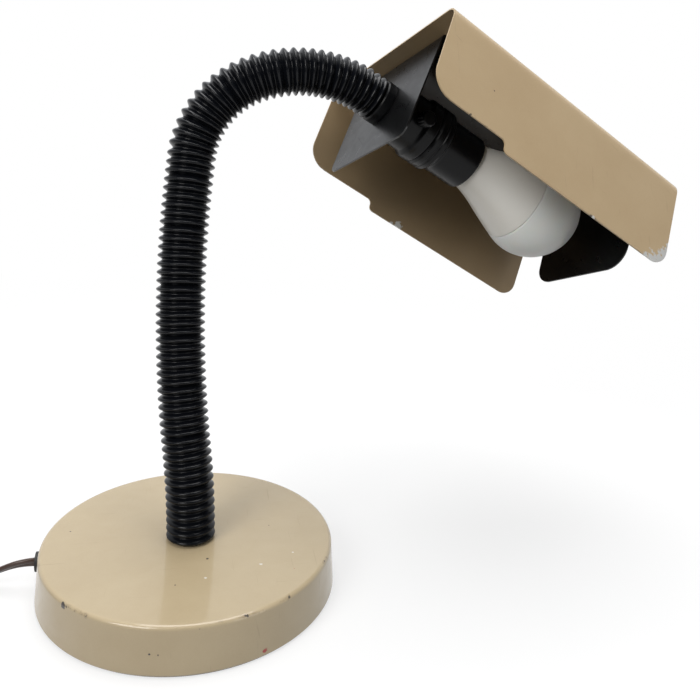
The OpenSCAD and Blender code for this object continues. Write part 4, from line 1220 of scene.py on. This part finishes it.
# The knob's outline about its own axis, which leaves the head's axis at KNOB_X and turns KNOB_TURN degrees
KNOB_OUTLINE = (
    (0, 13.6, 0), (2.1, 13.6, 0), (2.1, 18.55, 0), (4.0, 18.55, 0.4), (4.5, 19.3, 0.3), (4.5, 25.0, 0.6),
    (3.6, 26.3, 0.5), (0, 26.45, 0))
KNOB_X = 17.5
KNOB_TURN = 196
FLUTE_DEPTH = 0.45
HOLDER_SIDES = 128
KNOB_SIDES = 120


def fluted(r, h, a):
    """The knob's side dips in twelve flutes: r - 0.45 |cos 6a|^6."""
    side = (r > 3.9) & (h > 19.0) & (h < 25.6)
    return np.where(side, r - FLUTE_DEPTH * np.abs(np.cos(6 * a)) ** 6, r)


def at_knob(q):
    """Points about the knob's axis, in the lamp's frame: y and z turned, and x moved along the head."""
    turn = np.radians(KNOB_TURN)
    y = q[..., 1] * np.cos(turn) - q[..., 2] * np.sin(turn)
    z = q[..., 1] * np.sin(turn) + q[..., 2] * np.cos(turn)
    return at_head(np.stack([q[..., 0] + KNOB_X, y, z], -1))


class LAMP_OT_holder(bpy.types.Operator):
    """Make the black lamp holder and its switch knob"""

    bl_idname = "lamp.holder"
    bl_label = "Lamp holder"

    def execute(self, context):
        finish = FINISHES["phenolic"]
        for name, outline, node in (("holder_cap", CAP_OUTLINE, "socket_cap"),
                                    ("holder_sleeve", SHELL_OUTLINE, "socket_shell")):
            grid = turned_grid(dense(rounded_path(outline, 6), 1.6), HOLDER_SIDES, on_head_axis)
            piece = surface(name, grid, LOOP, finish, sharp=45)
            place_piece(piece, "head", "phenolic", node)
        grid = turned_grid(dense(rounded_path(KNOB_OUTLINE, 5), 0.8), KNOB_SIDES, at_knob, fluted)
        knob = surface("turn_knob", grid, TUBE, finish, sharp=45)
        place_piece(knob, "switch", "phenolic", "switch_knob")
        return {"FINISHED"}


# Bulb

# The globe's middle on the head's x, and the seam's distance behind it
GLOBE_X = 115.7
SEAM_BACK = 13.0
BULB_L = 108
SCREW_CAP_L = 24
# The body: radius, and distance from the screw cap
BODY_OUTLINE = ((13.7, 0.02), (14.2, 2.5), (14.9, 6), (16.2, 11), (18.6, 18), (22.0, 26.5), (25.1, 35))
BODY_WALL = 1.6
GLOBE_WALL = 1.2
BULB_SIDES = 160


class LAMP_OT_bulb(bpy.types.Operator):
    """Make the bulb's white body and its frosted globe"""

    bl_idname = "lamp.bulb"
    bl_label = "Bulb"

    def execute(self, context):
        r = sizes().bulb_d / MM / 2
        seam = GLOBE_X - SEAM_BACK
        seam_r = np.sqrt(r * r - SEAM_BACK ** 2)
        self.body(r, seam, seam_r)
        self.globe(r, seam, seam_r)
        return {"FINISHED"}

    def body(self, r, seam, seam_r):
        """The white body: a smoothed outline from the screw cap to the seam and back along its inner wall."""
        cap_end = GLOBE_X + r - BULB_L + SCREW_CAP_L
        knots = [(radius, cap_end + along) for radius, along in BODY_OUTLINE]
        knots = np.array([*knots, (26.7, seam - 1.6), (seam_r - 0.04, seam - 0.45)])
        h = np.linspace(knots[0, 1], knots[-1, 1], 60)
        side = np.stack([np.interp(h, knots[:, 1], knots[:, 0]), h], 1)
        side[3:-3, 0] = running_mean(side[:, 0], 7)
        lip = np.array([[seam_r - 0.5, seam - 0.1], [seam_r - BODY_WALL, seam - 0.1]])
        inner = side[::-6] - [BODY_WALL, 0]
        grid = turned_grid(np.vstack([side, lip, inner]), BULB_SIDES, on_head_axis)
        body = surface("bulb_shell", grid, LOOP, FINISHES["bulb_white"], sharp=50)
        place_piece(body, "bulb", "bulb_white", "bulb_body")

    def globe(self, r, seam, seam_r):
        """The frosted globe: spheres of the radius r and of its inner wall, cut at the seam, with a lip."""
        outer = self.meridian(r, 0.3, 72)
        inner = self.meridian(r - GLOBE_WALL, 0.2, 24)[::-1]
        lip = np.array([[seam_r - GLOBE_WALL, seam + 0.06], [seam_r - 0.35, seam + 0.06]])
        grid = turned_grid(np.vstack([inner, lip, outer]), BULB_SIDES, on_head_axis)
        globe = surface("bulb_globe", grid, TUBE, FINISHES["diffuser"], sharp=50)
        place_piece(globe, "bulb", "diffuser", "bulb_diffuser")

    def meridian(self, r, gap, steps):
        """A sphere's outline (r cos a, r sin a) about the globe's middle, from near the seam to the pole."""
        a = np.linspace(-np.arcsin((SEAM_BACK - gap) / r), np.pi / 2, steps)
        arc = np.stack([r * np.cos(a), GLOBE_X + r * np.sin(a)], 1)
        arc[-1, 0] = 0
        return arc


# Add-on


class LAMP_PT_panel(bpy.types.Panel):
    """The lamp's sizes, colours and pieces"""

    bl_idname = "LAMP_PT_panel"
    bl_label = "Desk Lamp"
    bl_space_type = "VIEW_3D"
    bl_region_type = "UI"
    bl_category = "Desk Lamp"

    def draw(self, context):
        layout = self.layout
        for group in (sizes(), colours()):
            for name in group.__annotations__:
                layout.prop(group, name)
        for operator in OPERATORS:
            layout.operator(operator.bl_idname)


OPERATORS = (
    LAMP_OT_finishes, LAMP_OT_stage, LAMP_OT_cord, LAMP_OT_base, LAMP_OT_neck, LAMP_OT_shade, LAMP_OT_holder,
    LAMP_OT_bulb)
CLASSES = (LampSizes, LampColours) + OPERATORS + (LAMP_PT_panel,)


def register():
    """Add the panel, the operators and the settings to Blender."""
    for cls in CLASSES:
        bpy.utils.register_class(cls)
    bpy.types.Scene.lamp_sizes = PointerProperty(type=LampSizes)
    bpy.types.Scene.lamp_colours = PointerProperty(type=LampColours)


def unregister():
    """Take them out again."""
    del bpy.types.Scene.lamp_sizes
    del bpy.types.Scene.lamp_colours
    for cls in reversed(CLASSES):
        bpy.utils.unregister_class(cls)


def main():
    """Build the scene step by step."""
    register()
    for step in ("finishes", "stage", "cord", "base", "neck", "shade", "holder", "bulb"):
        result = getattr(bpy.ops.lamp, step)()
        if result != {"FINISHED"}:
            raise RuntimeError("lamp.%s did not finish" % step)


if __name__ == "__main__":
    main()
